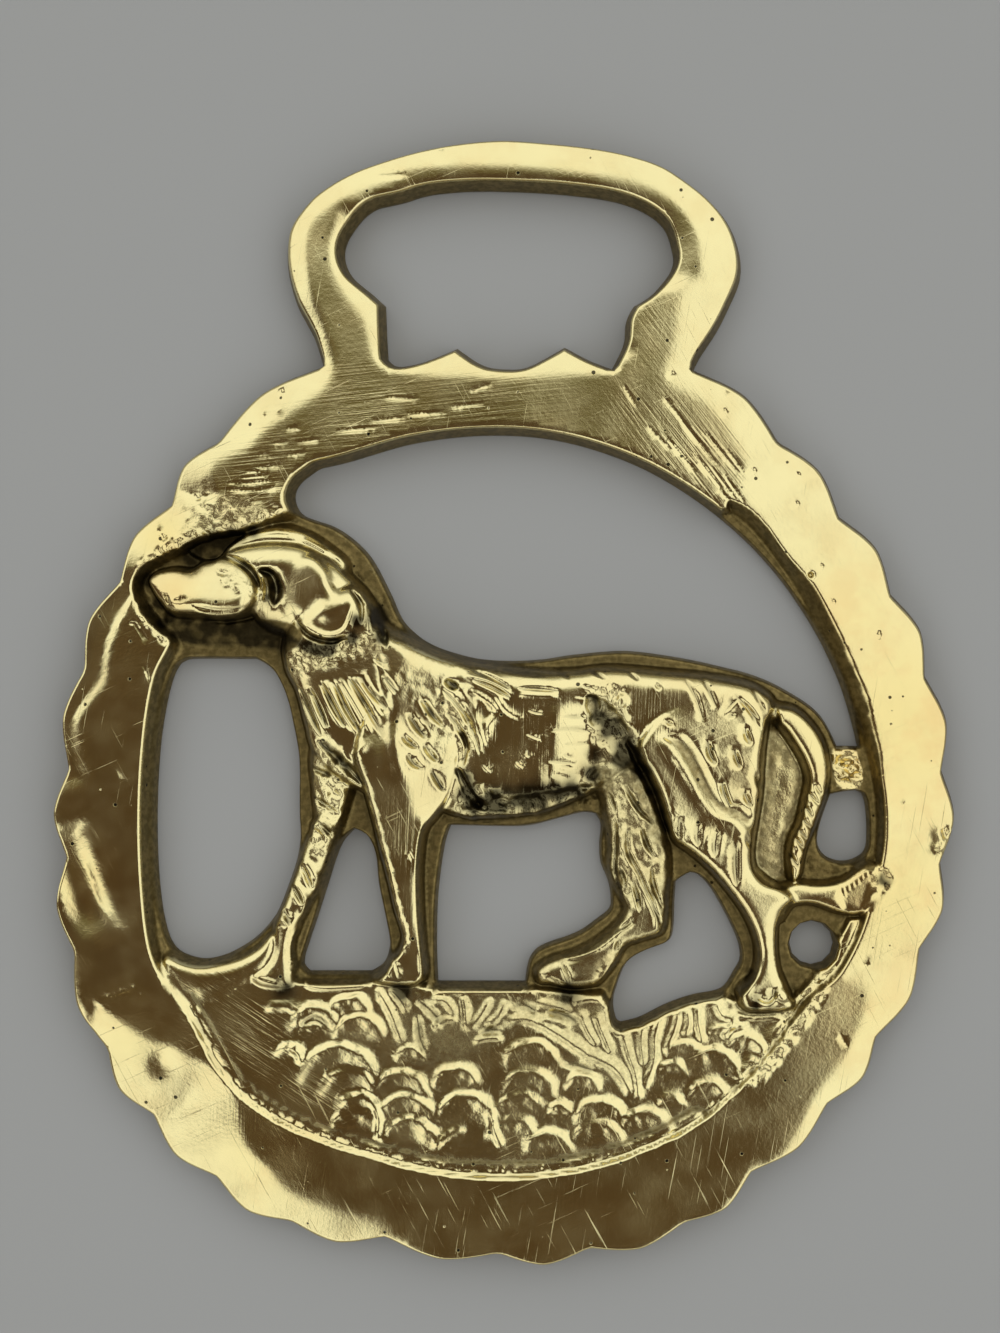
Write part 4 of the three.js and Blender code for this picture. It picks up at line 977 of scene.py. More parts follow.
def lay_turf(board):
    """Tufts, blades and the lip of the ground, with the grain the sand left between them."""
    board.floor = board.z.copy()
    leave_dull(board, [(-17.6, -22.6), (-7.6, -22.9), (2.0, -22.9), (8.0, -23.6), (9.6, -26.0), (13.0, -24.0),
                       (17.4, -23.3), (21.4, -25.0), (19.4, -28.2), (14.0, -32.8), (6.0, -35.6), (0.0, -36.4),
                       (-6.0, -35.8), (-11.4, -33.4), (-13.0, -30.6), (-17.6, -27.0)], 0.2, soft=1.5)
    for k, (x, y, half) in enumerate(TUFTS):
        lay_scale(board, x, y, half, 0.24 + 0.04 * math.sin(7 * k), lean=0.2 * math.sin(3 * k))
    lay_ridges(
        board, 0.5, 0.2,
        [(-10.2, -22.5), (-9.0, -24.6), (-8.2, -26.8)], [(-9.2, -22.6), (-8.2, -23.6), (-7.8, -24.4)],
        [(-1.2, -31.9), (-1.0, -33.4), (-0.4, -35.0)], [(-5.7, -35.0), (-4.5, -34.0), (-3.3, -33.4)],
        [(-10.4, -31.6), (-10.0, -33.0), (-10.2, -34.4)], [(-16.9, -27.0), (-16.4, -27.5), (-16.1, -28.4)],
        [(-18.9, -24.0), (-17.4, -23.9), (-16.2, -24.2)],
    )
    lay_ridge(board, [(-0.2, -25.2), (1.6, -24.9), (4.0, -26.0), (6.4, -27.6), (8.4, -28.6), (9.4, -29.9),
                      (9.8, -31.0)], 0.8, 0.32)
    lay_ridges(
        board, 0.5, 0.2,
        [(9.0, -25.4), (9.6, -27.6), (10.2, -29.4), (10.4, -31.3)],
        [(7.0, -24.4), (7.6, -26.0), (8.3, -27.6)],
        [(5.8, -24.2), (6.4, -25.8), (7.2, -27.0)], [(8.1, -23.7), (8.6, -25.0), (8.9, -26.4)],
        [(12.2, -24.4), (11.7, -26.2), (11.6, -28.2), (10.8, -30.4)],
        [(13.6, -23.9), (13.2, -25.8), (12.4, -27.6)],
        [(15.0, -23.6), (15.1, -25.2), (15.4, -26.8)], [(16.4, -23.3), (17.0, -24.6), (18.2, -25.0)],
        [(10.8, -25.0), (10.6, -26.6), (10.8, -28.6)], [(17.4, -24.4), (19.4, -24.9), (21.6, -24.8)],
        [(15.8, -26.0), (17.0, -25.6), (19.0, -25.4)], [(14.2, -24.0), (14.3, -25.4), (13.9, -26.2)],
        [(17.0, -26.4), (17.6, -25.6), (18.0, -24.9)],
        [(-5.9, -23.4), (-4.8, -23.4), (-4.0, -24.6)], [(-3.4, -22.9), (-3.2, -24.2), (-3.2, -25.8)],
        [(-1.2, -23.2), (-2.0, -24.6), (-3.0, -25.8)], [(0.0, -23.4), (-0.6, -24.6), (-1.6, -25.4)],
        [(-5.8, -25.6), (-4.8, -25.0), (-3.8, -24.9)], [(-2.6, -26.7), (-1.4, -26.4), (-0.3, -26.4)],
        [(2.4, -23.6), (4.0, -23.9), (5.0, -24.4)], [(5.2, -23.6), (6.6, -23.3), (7.6, -23.4)],
        [(2.8, -24.8), (4.2, -25.2), (5.0, -25.6)],
    )
    lay_ridges(board, 0.45, 0.2, [(-16.0, -21.9), (-15.0, -22.3), (-10.6, -22.2)],
               [(-6.0, -22.5), (-3.0, -22.6), (0.0, -22.6), (2.2, -22.7)])
    cut_grooves(board, 0.8, 0.2, 0.0, [(-7.0, -24.6), (-6.8, -26.4), (-6.4, -27.6)],
                [(-6.9, -23.6), (-6.0, -24.2), (-5.2, -25.2)], [(0.4, -24.0), (1.4, -23.8), (2.4, -24.4)],
                [(3.2, -24.4), (4.6, -24.6), (5.6, -25.2)], [(-2.0, -26.0), (-1.0, -25.8), (-0.3, -25.8)],
                [(-16.2, -25.4), (-15.0, -24.9), (-14.0, -25.6)], [(4.4, -28.4), (5.6, -28.6), (6.8, -29.0)])
    # The bead along the foot of the ring: a painted highlight on top, with a slight groove inside it and a
    # painted shade line in that groove.
    line = curve_through(RING_INNER[12:27], step=0.3)
    part, x, y = board.window(line, 1.2)
    gap, _ = distance_to(line, x, y)
    inner = board.outside[part] < 0
    board.z[part] -= 0.08 * np.where(inner, np.exp(-(((gap - 0.75) / 0.3) ** 2)), 0.0)
    board.dull_and_painted_light[part] -= 0.8 * np.exp(-((gap / 0.4) ** 2))
    board.dull_and_painted_light[part] += 0.6 * np.where(inner, np.exp(-(((gap - 0.8) / 0.25) ** 2)), 0.0)
    board.z[part] += 0.012 * board.noise(*FINE_SAND)[part] * np.where(inner, np.exp(-((gap / 0.5) ** 2)), 0.0)
    roughen(board, [(-7.6, -22.7), (2.0, -22.8), (8.0, -23.6), (9.6, -26.4), (13.0, -24.2), (17.4, -23.6),
                    (21.0, -25.0), (19.4, -28.2), (14.0, -32.8), (6.0, -35.6), (0.0, -36.4), (-6.0, -35.8),
                    (-10.4, -33.4), (-9.4, -30.0), (-14.6, -28.6), (-17.6, -26.6), (-17.0, -23.6),
                    (-10.6, -23.0)], FINE_SAND, 0.009, soft=1.2, grain=0.35)
    leave_dull(board, [(-7.6, -22.7), (2.0, -22.8), (8.0, -23.6), (12.0, -27.0), (9.0, -30.0), (2.0, -25.4),
                       (-2.0, -28.0), (-6.6, -29.0), (-9.0, -26.4)], 0.15, soft=1.5)
    roughen(board, [(18.2, -29.6), (20.6, -26.8), (24.4, -21.2), (25.2, -22.2), (22.6, -26.6), (19.4, -30.2)],
            COARSE_SAND, 0.07, soft=0.5)


# The crumbled metal left between the tail and the ring.
FLASH = [(25.9, -3.6), (27.0, -3.5), (28.2, -5.6), (27.6, -6.9), (26.3, -6.7), (25.8, -5.4)]

# Pits in the ring and hanger: place, radius and depth.
PITS = [
    (-17.6, 24.3, 0.32, 0.3), (23.9, 10.0, 0.32, 0.35), (-26.9, 12.9, 0.35, 0.3),
    (-27.2, 13.4, 0.2, 0.2), (19.4, 18.2, 0.22, 0.2), (29.2, 5.3, 0.22, 0.2), (17.1, 22.9, 0.2, 0.2),
    (13.0, 25.8, 0.22, 0.2), (-5.0, 43.1, 0.24, 0.2), (28.1, -20.5, 0.24, 0.25),
    (29.7, -14.0, 0.9, 0.1), (31.0, -7.8, 0.2, 0.15), (-23.6, 17.2, 0.25, 0.2),
    (-24.3, 16.1, 0.3, 0.25), (-12.5, 39.8, 0.18, 0.2), (24.7, 10.7, 0.16, 0.2),
    (22.8, 15.6, 0.18, 0.2), (25.6, 7.9, 0.2, 0.2), (22.9, 17.9, 0.18, 0.2), (-18.9, 22.5, 0.2, 0.2),
    (-17.7, 22.7, 0.18, 0.2), (17.2, 24.4, 0.18, 0.2), (-14.1, 28.4, 0.16, 0.2),
]


def roughen_stem(board):
    """The rough skin left where the head joins the ring, and the pits and flash of the casting."""
    roughen(board, [(-25.6, 13.2), (-24.6, 15.0), (-23.2, 16.2), (-20.0, 16.1), (-18.8, 15.0), (-17.0, 14.9),
                    (-20.4, 13.7), (-23.0, 13.1)], FINE_SAND, 0.035, soft=0.8)
    roughen(board, [(-25.4, 14.0), (-24.6, 16.4), (-23.0, 16.6), (-22.2, 16.0), (-24.0, 14.6)],
            CRUMBS, 0.05, soft=0.6, grain=0.5)
    roughen(board, [(-29.1, 10.4), (-26.4, 12.6), (-24.0, 13.4), (-20.6, 14.1), (-17.2, 15.0), (-17.0, 14.6),
                    (-20.6, 13.5), (-24.6, 12.2), (-28.6, 10.0)], FINE_SAND, 0.07, soft=0.5)
    roughen(board, [(-28.8, 8.6), (-27.4, 6.6), (-25.8, 5.4), (-26.6, 4.6), (-28.2, 6.0), (-29.2, 7.8)],
            COARSE_SAND, 0.08, soft=0.5)
    cut_grooves(board, 0.22, 0.12, 0.04, [(-29.3, 6.6), (-28.6, 5.4), (-27.9, 4.0)],
                [(-28.3, 3.0), (-27.9, 1.6)], [(-29.6, 6.2), (-28.9, 6.2)])
    cut_grooves(board, 0.35, 0.14, 0.06, [(-30.5, -4.9), (-30.1, -5.5), (-29.8, -6.4)])
    lay_dome(board, -17.9, 16.1, 1.0, 0.08, flat=0.5)
    for x, y, radius, depth in PITS:
        lay_dome(board, x, y, radius, -depth, flat=0.25)
    roughen(board, [(34.2, -9.6), (33.4, -11.2), (34.4, -11.8), (35.2, -10.4)], CRUMBS, 0.15, soft=0.4)
    roughen(board, [(28.9, -13.2), (29.9, -13.0), (30.5, -13.8), (30.2, -14.7), (29.2, -14.9), (28.6, -14.0)],
            CRUMBS, 0.08, soft=0.3)
    # The large pit by the bar's end is darkened.
    paint_dirt_and_shade_area(board, [(29.4, -13.4), (30.2, -13.3), (30.4, -14.0), (29.8, -14.5), (29.2, -14.2)],
              0.5, soft=0.5)
    roughen(board, FLASH, CRUMBS, 0.18, soft=0.3)
    leave_dull(board, FLASH, -1.5, soft=0.4)


# Marks of the file: where each starts, its length, and its bearing in degrees.
SCRATCHES = [
    (-17.4, 21.5, 1.2, 4), (-13.4, 21.3, 3.4, 6), (-10.8, 22.1, 3.0, 6), (-8.0, 22.6, 3.2, 4),
    (-18.5, 20.3, 1.5, 5), (-16.6, 20.4, 2.0, 8), (-19.6, 19.4, 1.0, 5), (-17.4, 19.4, 1.8, 7),
    (-19.8, 18.4, 2.2, 6), (-20.6, 18.1, 1.4, 5), (-22.0, 17.2, 3.6, 4), (-21.4, 17.0, 3.0, 8),
    (-22.2, 16.7, 2.6, 0), (-19.8, 16.6, 1.8, 10), (-20.9, 17.6, 2.4, 6), (-9.6, 24.0, 2.6, -4),
    (-4.6, 23.2, 3.0, 6), (-3.0, 24.4, 2.0, 20),
    (12.3, 24.1, 4.6, -52), (13.6, 22.2, 5.0, -50), (15.4, 21.4, 4.4, -50), (12.2, 21.2, 4.0, -48),
    (13.0, 20.4, 3.2, -52), (14.6, 19.8, 3.6, -53), (16.0, 18.7, 3.4, -54), (17.0, 18.0, 3.0, -54),
    (15.2, 18.9, 3.0, -50), (11.0, 21.8, 2.8, -46), (17.2, 20.0, 2.6, -52), (16.6, 16.9, 2.2, -50),
    (9.2, 25.0, 2.0, -60), (26.2, -26.0, 1.4, -60), (-31.9, -23.3, 3.0, 18), (-10.3, 41.3, 2.6, 4),
]


def draw_scratches(board):
    """The marks of the file, cut into the ring and hanger."""
    for x, y, length, bearing in SCRATCHES:
        turn = math.radians(bearing)
        end = (x + length * math.cos(turn), y + length * math.sin(turn))
        cut_groove(board, [(x, y), end], 0.26, 0.045, 0.01)


def scratch_rows(board):
    """Points along both banks and the bed of every scratch, as they lie on the casting."""
    rows = []
    for x, y, length, bearing in SCRATCHES:
        turn = math.radians(bearing)
        run = np.arange(0, length, SCRATCH_STEP)[:, None]
        middle = np.array([x, y]) + run * np.array([math.cos(turn), math.sin(turn)])
        across = np.array([-math.sin(turn), math.cos(turn)])
        rows += [middle + across * offset for offset in (-0.13, 0.0, 0.13)]
    seen = np.vstack(rows)
    return EYE + (seen - EYE) / (1 + RING_TOP / EYE_HEIGHT)


def build_relief():
    """The whole face of the brass: laid up, blurred a little as sand casts it, then carved."""
    board = Relief()
    lay_ring(board)
    wide_bevel(board)
    lay_ground(board)
    lay_ties(board)
    lay_dog(board)
    carve_haunch(board)
    board.z = board.blur(board.z, 0.08)
    carve_head(board)
    carve_fur(board)
    carve_legs(board)
    lay_turf(board)
    roughen_stem(board)
    draw_scratches(board)
    board.z = board.blur(board.z, 0.035)
    board.z = np.minimum(board.z, HIGHEST)
    return board


# ---------------------------------------------------------------- the casting's mesh

class Edges:
    """The casting's outline and openings: where the metal is, and how far off its edge is."""

    def __init__(self, board, loops, reach=2.4):
        self.board = board
        self.loops = loops
        self.metal = board.coarse(self.on_metal)
        self.gap = np.full(board.z.shape, reach)
        for loop in loops:
            for a, b in zip(loop, np.roll(loop, -1, axis=0)):
                part, x, y = board.window(np.array([a, b]), reach)
                near, _ = distance_to(np.array([a, b]), x, y)
                self.gap[part] = np.minimum(self.gap[part], near)

    def on_metal(self, x, y):
        inside = np.zeros(x.shape, bool)
        for loop in self.loops:
            inside ^= is_inside(loop[::2], x, y)
        return inside.astype(float)

    def gap_at(self, points):
        return self.board.sample(self.gap, points[:, 0], points[:, 1])

    def clear(self, points, gap):
        """Those of the points that lie on the metal and farther than the gap from its edge."""
        inside = self.board.sample(self.metal, points[:, 0], points[:, 1]) > 0.5
        return inside & (self.gap_at(points) > gap)

    def rows(self, depth, gap):
        """A row of points inside each loop, where nothing else comes nearer than the gap."""
        found = []
        for loop in self.loops:
            row = loop + inward_normals(loop) * depth
            found.append(row[self.gap_at(row) > gap])
        return found


def lattice(low, high, step):
    """Even points in a triangular pattern, and how coarse a pattern each would still be in."""
    rows = np.arange(int((high[1] - low[1]) / (step * math.sqrt(3) / 2)))
    columns = np.arange(int((high[0] - low[0]) / step))
    i, k = np.meshgrid(columns, rows)
    x = low[0] + i * step + (k % 2) * step / 2
    y = low[1] + k * step * math.sqrt(3) / 2
    level = np.zeros(i.shape, int)
    level[(k % 2 == 0) & ((i - k // 2) % 2 == 0)] = 1
    level[(k % 4 == 0) & ((i - k // 4 * 2) % 4 == 0)] = 2
    return np.c_[x.ravel(), y.ravel()], level.ravel()


def triangulate(loops, points):
    """Triangles over the metal between the loops, through all the points."""
    border = np.vstack(loops)
    places = np.vstack([border, points])
    edges = []
    at = 0
    for loop in loops:
        n = len(loop)
        edges += [(at + i, at + (i + 1) % n) for i in range(n)]
        at += n
    verts, _, faces, *_ = delaunay_2d_cdt([Vector(p) for p in places], edges, [], 0, 1e-7, False)
    verts = np.array([(v.x, v.y) for v in verts])
    faces = np.array(faces)
    on_border = (faces < len(border)).all(1)
    middle = verts[faces[on_border]].mean(1)
    inside = np.zeros(len(middle), bool)
    for loop in loops:
        inside ^= is_inside(loop, middle[:, 0], middle[:, 1])
    keep = np.ones(len(faces), bool)
    keep[np.flatnonzero(on_border)[~inside]] = False
    return verts, faces[keep]


def put_values(mesh, name, on_front, on_back=0.0):
    """Values on the mesh's points: one for each of the front, and one for all of the back."""
    values = np.full(len(mesh.vertices), on_back)
    values[:len(on_front)] = on_front
    attribute = mesh.attributes.new(name, "FLOAT", "POINT")
    attribute.data.foreach_set("value", values.astype(np.float32))


# Where the brass was brushed and which way, and where it is more golden: x, y, radius, strength.
PLACES = {
    "brushed_down": [(0.5, -3.0, 4.5, 1.0), (-8.5, -11.0, 3.0, 0.9), (-8.0, -17.0, 2.5, 0.8),
                     (11.0, -1.0, 3.0, 0.9), (0.0, -40.0, 9.0, 0.35), (-21.5, -32.0, 2.2, 0.6),
                     (27.6, -14.7, 1.6, 0.0), (22.0, -19.0, 2.0, 0.4), (-7.0, -5.0, 2.5, 0.5)],
    "brushed_slant": [(-20.0, -26.0, 4.5, 1.0), (-15.5, -30.0, 3.0, 1.0), (-11.0, -28.0, 3.0, 0.5),
                      (-22.0, -22.0, 3.0, 0.7), (-6.0, -32.0, 6.0, 0.3), (8.0, -32.0, 5.0, 0.3)],
    "brushed_level": [(-19.0, 18.5, 4.0, 1.0), (-11.0, 22.0, 5.0, 0.8), (-2.0, 23.0, 6.0, 0.6)],
    "brushed_steep": [(15.0, 19.5, 4.5, 1.0), (11.0, 23.0, 3.0, 0.6), (12.0, 29.0, 3.0, 0.5)],
    "golden": [(31.0, -2.0, 10.0, 1.0), (30.0, -15.0, 7.0, 1.0), (-27.0, 13.0, 2.5, 1.0),
               (24.0, -5.0, 3.0, 0.5), (-26.0, 8.5, 2.0, 0.8), (-33.5, -14.0, 2.5, 1.0),
               (27.0, 6.0, 6.0, 0.7), (29.0, -24.0, 5.0, 0.6), (-19.0, -35.0, 5.0, 0.5),
               (-30.0, -26.0, 4.0, 0.5)],
}
BACK_DULLNESS = 0.75


def closed_mesh(name, verts, faces):
    """A mesh in metres from points in millimetres and triangles."""
    mesh = bpy.data.meshes.new(name)
    mesh.vertices.add(len(verts))
    mesh.vertices.foreach_set("co", (verts * MM).astype(np.float32).ravel())
    mesh.loops.add(len(faces) * 3)
    mesh.loops.foreach_set("vertex_index", faces.astype(np.int32).ravel())
    mesh.polygons.add(len(faces))
    mesh.polygons.foreach_set("loop_start", np.arange(0, len(faces) * 3, 3, dtype=np.int32))
    mesh.update(calc_edges=True)
    return mesh


def near_places(places, x, y):
    """How near each point is to any of some round places, as far as each place's strength."""
    found = np.zeros(x.shape)
    for px, py, radius, amount in places:
        near = np.exp(-((x - px) ** 2 + (y - py) ** 2) / radius**2)
        found = np.maximum(found, amount * near)
    return found


def paint_casting(mesh, board, seen_x, seen_y, below_face):
    """Where the brass has gone dull (with painted highlights and shade mixed in), is blackened by dirt and
    painted shade in its hollows, is rough, was brushed or is golden, point by point.
    """
    across, down = board.slopes()
    steep = smooth_step((board.blur(np.hypot(across, down), 0.1) - 0.8) / 0.9)
    ledge = smooth_step((2.15 - board.z) / 0.4)
    wide_hollow = smooth_step((board.blur(board.z, 0.8) - board.blur(board.z, 0.1) - 0.05) / 0.3)
    narrow_hollow = smooth_step((board.blur(board.z, 0.3) - board.blur(board.z, 0.06) - 0.08) / 0.25)
    patchy = 1.4 + 0.5 * board.noise(*WAVER)
    dull_and_painted_light = np.maximum(0.85 * steep, 0.75 * ledge) + 0.3 * wide_hollow + board.dull_and_painted_light
    # Near black in narrow hollows and where dirt was laid: dirt and painted shade.
    dirt_and_painted_shade = np.clip(0.45 * narrow_hollow + board.shade_and_dirt * patchy, 0, 1)

    dull_and_painted_light = board.sample(dull_and_painted_light, seen_x, seen_y)
    wall = 0.95 * smooth_step(below_face / 0.5) * (dull_and_painted_light > -0.5)
    put_values(mesh, "dull_and_painted_light", np.maximum(dull_and_painted_light, wall), on_back=BACK_DULLNESS)
    put_values(mesh, "dirt_and_painted_shade", board.sample(dirt_and_painted_shade, seen_x, seen_y))
    put_values(mesh, "grain", board.sample(board.grain, seen_x, seen_y))
    for name, places in PLACES.items():
        put_values(mesh, name, near_places(places, seen_x, seen_y))


def front_points(board, edges):
    """Rows that follow the edges, a lattice that is closer where the relief bends, and scratches."""
    rows = [row for depth in FRONT_ROWS for row in edges.rows(depth, depth * 0.8)]
    field, level = lattice(*FIELD, FINE_STEP)
    clear = edges.clear(field, FIELD_MARGIN)
    field, level = field[clear], level[clear]
    need = board.sample(board.detail(), *field.T) * LEVEL_WORTH[level]
    wanted = np.argsort(-need, kind="stable")[:FRONT_POINTS]
    marks = scratch_rows(board)
    return np.vstack(rows + [field[np.sort(wanted)], marks[edges.clear(marks, 0.8)]])


def back_points(edges):
    """A row inside each edge, where the back's rim is rounded, and a coarse lattice."""
    field, _ = lattice(*FIELD, BACK_STEP)
    return np.vstack(edges.rows(BACK_ROUND, 0.18) + [field[edges.clear(field, 0.6)]])


def build_casting(board):
    """The brass as one closed mesh: the carved front, the walls, and the flat back."""
    loops = [resample_outline(loop, EDGE_STEP) for loop in casting_outlines()]
    edges = Edges(board, loops)
    border_count = sum(len(loop) for loop in loops)

    # The relief as the eye sees it, cut down to a steep wall along the edges.
    front, front_faces = triangulate(loops, front_points(board, edges))
    gap = edges.gap_at(front)
    gap[:border_count] = 0
    lift = board.sample(board.blur(board.z, 1.0), *front.T)
    stretch = 1 + lift / EYE_HEIGHT
    seen_x = EYE[0] + (front[:, 0] - EYE[0]) * stretch
    seen_y = EYE[1] + (front[:, 1] - EYE[1]) * stretch
    face = board.sample(board.z, seen_x, seen_y)
    wall = RIM_HEIGHT + WALL_SLOPE * gap
    height = np.maximum(-soft_max(-wall, -face, 0.3), RIM_HEIGHT)
    height[:border_count] = RIM_HEIGHT

    back, back_faces = triangulate(loops, back_points(edges))
    back_height = RIM_HEIGHT * (1 - quarter_round(edges.gap_at(back) / BACK_ROUND))

    # Front and back share the border's points. Nothing reaches past the solid's own box.
    verts = np.vstack([np.c_[front, height], np.c_[back, back_height][border_count:]])
    low, high = np.array(CAD_BOX) / MM
    verts = np.clip(verts, low + HAIR, high - HAIR)
    verts[:, 2] = np.where(verts[:, 2] <= HAIR, 0.0, verts[:, 2])
    shift = len(front) - border_count
    lower = np.where(back_faces < border_count, back_faces, back_faces + shift)[:, ::-1]
    mesh = closed_mesh("horse_brass_casting", verts, np.vstack([front_faces, lower]))
    paint_casting(mesh, board, seen_x, seen_y, face - height)
    mesh.shade_smooth()
    piece = bpy.data.objects.new("horse_brass_casting", mesh)
    bpy.context.scene.collection.objects.link(piece)
    return piece


# ---------------------------------------------------------------- materials

class Nodes:
    """A short way to write a material or world as a tree of nodes."""

    def __init__(self, tree):
        self.tree = tree

    def add(self, kind, inputs=None, **settings):
        node = self.tree.nodes.new(kind)
        for name, value in settings.items():
            setattr(node, name, value)
        for name, value in (inputs or {}).items():
            if isinstance(value, bpy.types.NodeSocket):
                self.tree.links.new(value, node.inputs[name])
            else:
                node.inputs[name].default_value = value
        return node

    def math(self, operation, *values):
        return self.add("ShaderNodeMath", dict(enumerate(values)), operation=operation).outputs[0]

    def ramp(self, value, low, high, start=0.0, end=1.0):
        return self.add("ShaderNodeMapRange", {
            "Value": value, "From Min": low, "From Max": high, "To Min": start, "To Max": end,
        }, interpolation_type="SMOOTHSTEP").outputs["Result"]

    def mix(self, factor, a, b):
        node = self.add("ShaderNodeMix", {0: factor, 6: a, 7: b}, data_type="RGBA")
        return node.outputs[2]

    def attribute(self, name):
        return self.add("ShaderNodeAttribute", attribute_name=name).outputs["Fac"]


FRESH_BRASS = (0.93, 0.83, 0.45, 1)
FRESH_GOLDEN = (0.92, 0.77, 0.36, 1)
COPPERY_BRASS = (0.87, 0.72, 0.36, 1)
COPPERY_GOLDEN = (0.86, 0.60, 0.27, 1)
TARNISH_DEEP = (0.13, 0.092, 0.027, 1)
TARNISH_THIN = (0.24, 0.175, 0.062, 1)
# Near black, for dirt and painted shade in the hollows.
DIRT_AND_SHADE_BLACK = (0.012, 0.009, 0.005, 1)

# Bearings in degrees: of the brushing, by the places it was done in, and of the hair scratches,
# each with how strongly they show.
BRUSHING = {"brushed_down": 88, "brushed_slant": -33, "brushed_level": 6, "brushed_steep": -52}
HAIR_SCRATCHES = ((24, 1.0), (-62, 0.8), (80, 0.6))


def brass_material():
    """Cast brass, polished where hands and buff reach it, dull olive brown where they don't."""
    material = bpy.data.materials.new("polished_cast_brass")
    material.use_nodes = True
    n = Nodes(material.node_tree)
    shader = material.node_tree.nodes["Principled BSDF"]
    place = n.add("ShaderNodeTexCoord").outputs["Object"]
    dull_and_painted_light, dirt_and_painted_shade, grain = n.attribute("dull_and_painted_light"), n.attribute("dirt_and_painted_shade"), n.attribute("grain")
    golden = n.attribute("golden")

    def streaks(bearing, across, length):
        """Noise drawn out along a bearing."""
        turned = n.add("ShaderNodeMapping", {"Vector": place, "Rotation": (0, 0, math.radians(-bearing))})
        thin = n.add("ShaderNodeMapping", {"Vector": turned.outputs[0],
                                           "Scale": (1 / length, 1 / across, 1)})
        return n.add("ShaderNodeTexNoise", {"Vector": thin.outputs[0], "Scale": 1.0, "Detail": 2.0,
                                            "Roughness": 0.6}).outputs[0]

    def speck(size, detail=2.0):
        """Noise in lumps of a size in millimetres."""
        return n.add("ShaderNodeTexNoise", {"Vector": place, "Scale": 1 / (size * MM), "Detail": detail,
                                            "Roughness": 0.6}).outputs[0]

    height = 0.0
    for name, bearing in BRUSHING.items():
        lines = n.math("SUBTRACT", streaks(bearing, 0.22 * MM, 6 * MM), 0.5)
        height = n.math("ADD", height, n.math("MULTIPLY", n.attribute(name), lines))
    height = n.math("MULTIPLY", height, 2.6)

    pits = n.add("ShaderNodeTexVoronoi", {"Vector": place, "Scale": 1 / (1.15 * MM), "Randomness": 1.0})
    chance = n.add("ShaderNodeSeparateColor", {"Color": pits.outputs["Color"]}).outputs[0]
    wide = n.math("MULTIPLY", n.ramp(chance, 0.45, 1.0), 0.13)
    pit = n.ramp(n.math("SUBTRACT", pits.outputs["Distance"], wide), 0.02, -0.03)
    pit = n.math("MULTIPLY", pit, n.ramp(chance, 0.45, 0.5))

    mottle = n.ramp(speck(4.0, 5.0), 0.42, 0.66)
    fresh = n.mix(golden, FRESH_BRASS, FRESH_GOLDEN)
    coppery = n.mix(golden, COPPERY_BRASS, COPPERY_GOLDEN)
    fresh = n.mix(n.math("MULTIPLY", mottle, 0.5), fresh, coppery)
    tarnish = n.mix(n.ramp(speck(0.5), 0.35, 0.65), TARNISH_DEEP, TARNISH_THIN)
    # Tarnish from the dull map, which also holds painted highlights and shade.
    spread = n.math("ADD", dull_and_painted_light, n.math("MULTIPLY", n.math("SUBTRACT", speck(0.35), 0.5), 0.5))
    spread = n.math("MULTIPLY", n.ramp(spread, 0.15, 0.8), 0.95)
    colour = n.mix(spread, fresh, tarnish)
    # Hollows, laid dirt and pits go near black: dirt and painted shade.
    dirt_and_shade_amount = n.math("MAXIMUM", n.math("MULTIPLY", dirt_and_painted_shade, 0.9), n.math("MULTIPLY", pit, 0.9))
    colour = n.mix(dirt_and_shade_amount, colour, DIRT_AND_SHADE_BLACK)
    n.tree.links.new(colour, shader.inputs["Base Color"])
    shader.inputs["Metallic"].default_value = 1.0
    rough = n.math("ADD", n.math("MULTIPLY", spread, 0.3), n.math("MULTIPLY", grain, 0.06))
    rough = n.math("ADD", rough, n.ramp(speck(3.0), 0.3, 0.7, 0.12, 0.19))
    n.tree.links.new(rough, shader.inputs["Roughness"])

    height = n.math("ADD", height, n.math("MULTIPLY", n.math("MULTIPLY", speck(0.2), grain), 3.0))
    height = n.math("ADD", height, n.math("MULTIPLY", speck(0.3), 0.8))
    for bearing, amount in HAIR_SCRATCHES:
        hairs = n.ramp(streaks(bearing, 0.16 * MM, 9 * MM), 0.64, 0.78)
        handled = n.ramp(speck(9.0 + bearing / 20), 0.45, 0.62, 0.15, amount)
        height = n.math("SUBTRACT", height, n.math("MULTIPLY", hairs, handled))
    height = n.math("SUBTRACT", height, n.math("MULTIPLY", pit, 6.0))
    bump = n.add("ShaderNodeBump", {"Height": height, "Strength": 1.0, "Distance": 0.01 * MM})
    n.tree.links.new(bump.outputs[0], shader.inputs["Normal"])
    return material


def floor_material():
    """A plain pale floor without shine."""
    material = bpy.data.materials.new("pale_floor")
    material.use_nodes = True
    shader = material.node_tree.nodes["Principled BSDF"]
    shader.inputs["Base Color"].default_value = (0.42, 0.43, 0.45, 1)
    shader.inputs["Roughness"].default_value = 0.8
    return material


# ---------------------------------------------------------------- stage

FLOOR_WIDTH = 3.0

# The sensor's width, the height of what the view takes in, and the middle of it, in millimetres.
SENSOR = 36.0
VIEW_HEIGHT = 104.8
VIEW_MIDDLE = (-0.5, 2.8)

# The room that the brass mirrors.
ROOM_LIGHT = (1.0, 1.0, 0.94, 1)
ROOM_SHADE = (0.064, 0.04, 0.021, 1)
ROOM_SHADE_FAR = (0.14, 0.125, 0.065, 1)
ROOM_CLOUD = (0.22, 0.15, 0.085, 1)


def add_floor():
    bpy.ops.mesh.primitive_plane_add(size=FLOOR_WIDTH, location=(0, 0, 0))
    floor = bpy.context.object
    floor.name = "floor"
    floor.data.materials.append(floor_material())


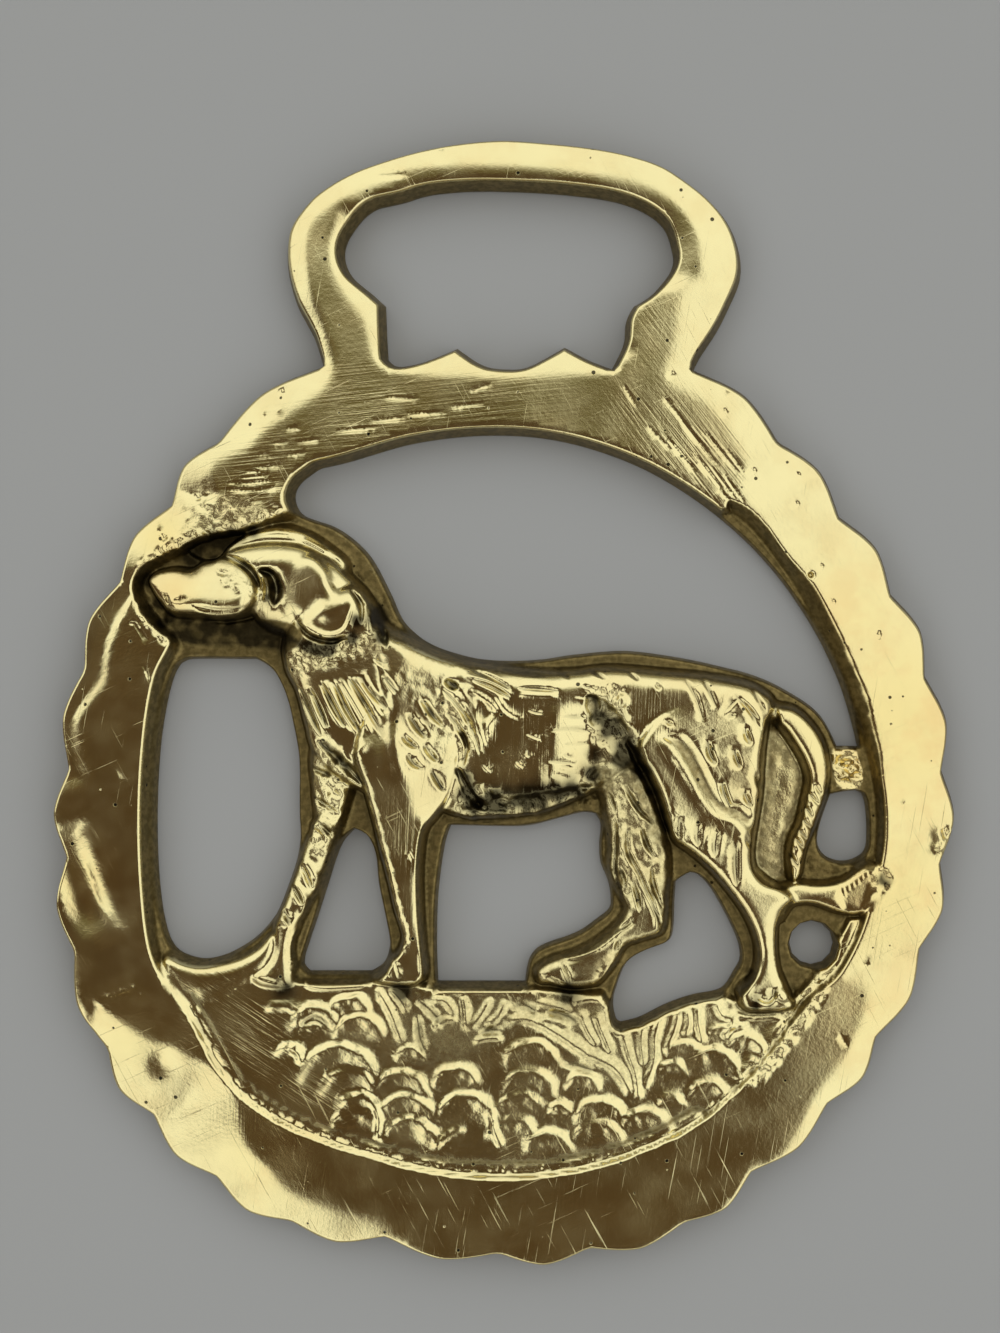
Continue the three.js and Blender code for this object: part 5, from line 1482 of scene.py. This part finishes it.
def add_view():
    """A camera at the eye's place, looking straight down and shifted to frame the brass."""
    data = bpy.data.cameras.new("camera")
    data.sensor_width = SENSOR
    data.lens = SENSOR * EYE_HEIGHT / VIEW_HEIGHT
    data.shift_x = -(EYE[0] - VIEW_MIDDLE[0]) / VIEW_HEIGHT
    data.shift_y = -(EYE[1] - VIEW_MIDDLE[1]) / VIEW_HEIGHT
    data.clip_start = 0.01
    camera = bpy.data.objects.new("camera", data)
    camera.location = (EYE[0] * MM, EYE[1] * MM, EYE_HEIGHT * MM)
    bpy.context.scene.collection.objects.link(camera)
    bpy.context.scene.camera = camera


def add_light():
    """A soft room, lit all round, with one dark patch overhead, where whoever looks at it stands."""
    world = bpy.data.worlds.new("studio")
    bpy.context.scene.world = world
    world.use_nodes = True
    n = Nodes(world.node_tree)
    background = world.node_tree.nodes["Background"]
    towards = n.add("ShaderNodeTexCoord").outputs["Generated"]
    split = n.add("ShaderNodeSeparateXYZ", {0: towards})
    up = n.math("MAXIMUM", split.outputs["Z"], 0.05)

    # How far a direction leans to the right and away, and the lit parts of the room by it.
    right = n.math("DIVIDE", split.outputs["X"], up)
    away = n.math("DIVIDE", split.outputs["Y"], up)
    lit = n.ramp(n.math("ADD", right, n.math("MULTIPLY", away, 0.25)), 0.04, 0.19)
    far = n.ramp(away, 0.14, 0.38)
    far_left = n.math("MULTIPLY", n.ramp(n.math("SUBTRACT", away, right), 0.56, 0.78),
                      n.ramp(away, -0.13, -0.05))
    near_left = n.math("MULTIPLY", n.ramp(n.math("ADD", right, away), -0.6, -0.72),
                       n.ramp(right, -0.2, -0.3))
    near_left = n.math("MULTIPLY", near_left,
                       n.math("MULTIPLY", n.ramp(away, -0.22, -0.34), n.ramp(right, -1.6, -1.2)))
    near = n.ramp(away, -1.4, -2.2)
    for other in (far, far_left, near_left, near):
        lit = n.math("MAXIMUM", lit, other)
    lit = n.math("MULTIPLY", lit, n.ramp(split.outputs["Z"], 0.1, 0.55, 0.12, 1.0))

    shade = n.mix(n.ramp(away, 0.02, 0.16), ROOM_SHADE, ROOM_SHADE_FAR)
    cloud = n.add("ShaderNodeTexNoise", {"Vector": towards, "Scale": 9.0, "Detail": 3.0}).outputs[0]
    shade = n.mix(n.ramp(cloud, 0.45, 0.75, 0.0, 0.35), shade, ROOM_CLOUD)
    n.tree.links.new(n.mix(lit, shade, ROOM_LIGHT), background.inputs["Color"])
    background.inputs["Strength"].default_value = 1.0
    bpy.context.scene.view_settings.view_transform = "Standard"


def main():
    add_view()
    add_light()
    add_floor()
    board = build_relief()
    casting = build_casting(board)
    casting.data.materials.append(brass_material())
    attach(casting, "root")
    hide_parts("horse_brass")


main()
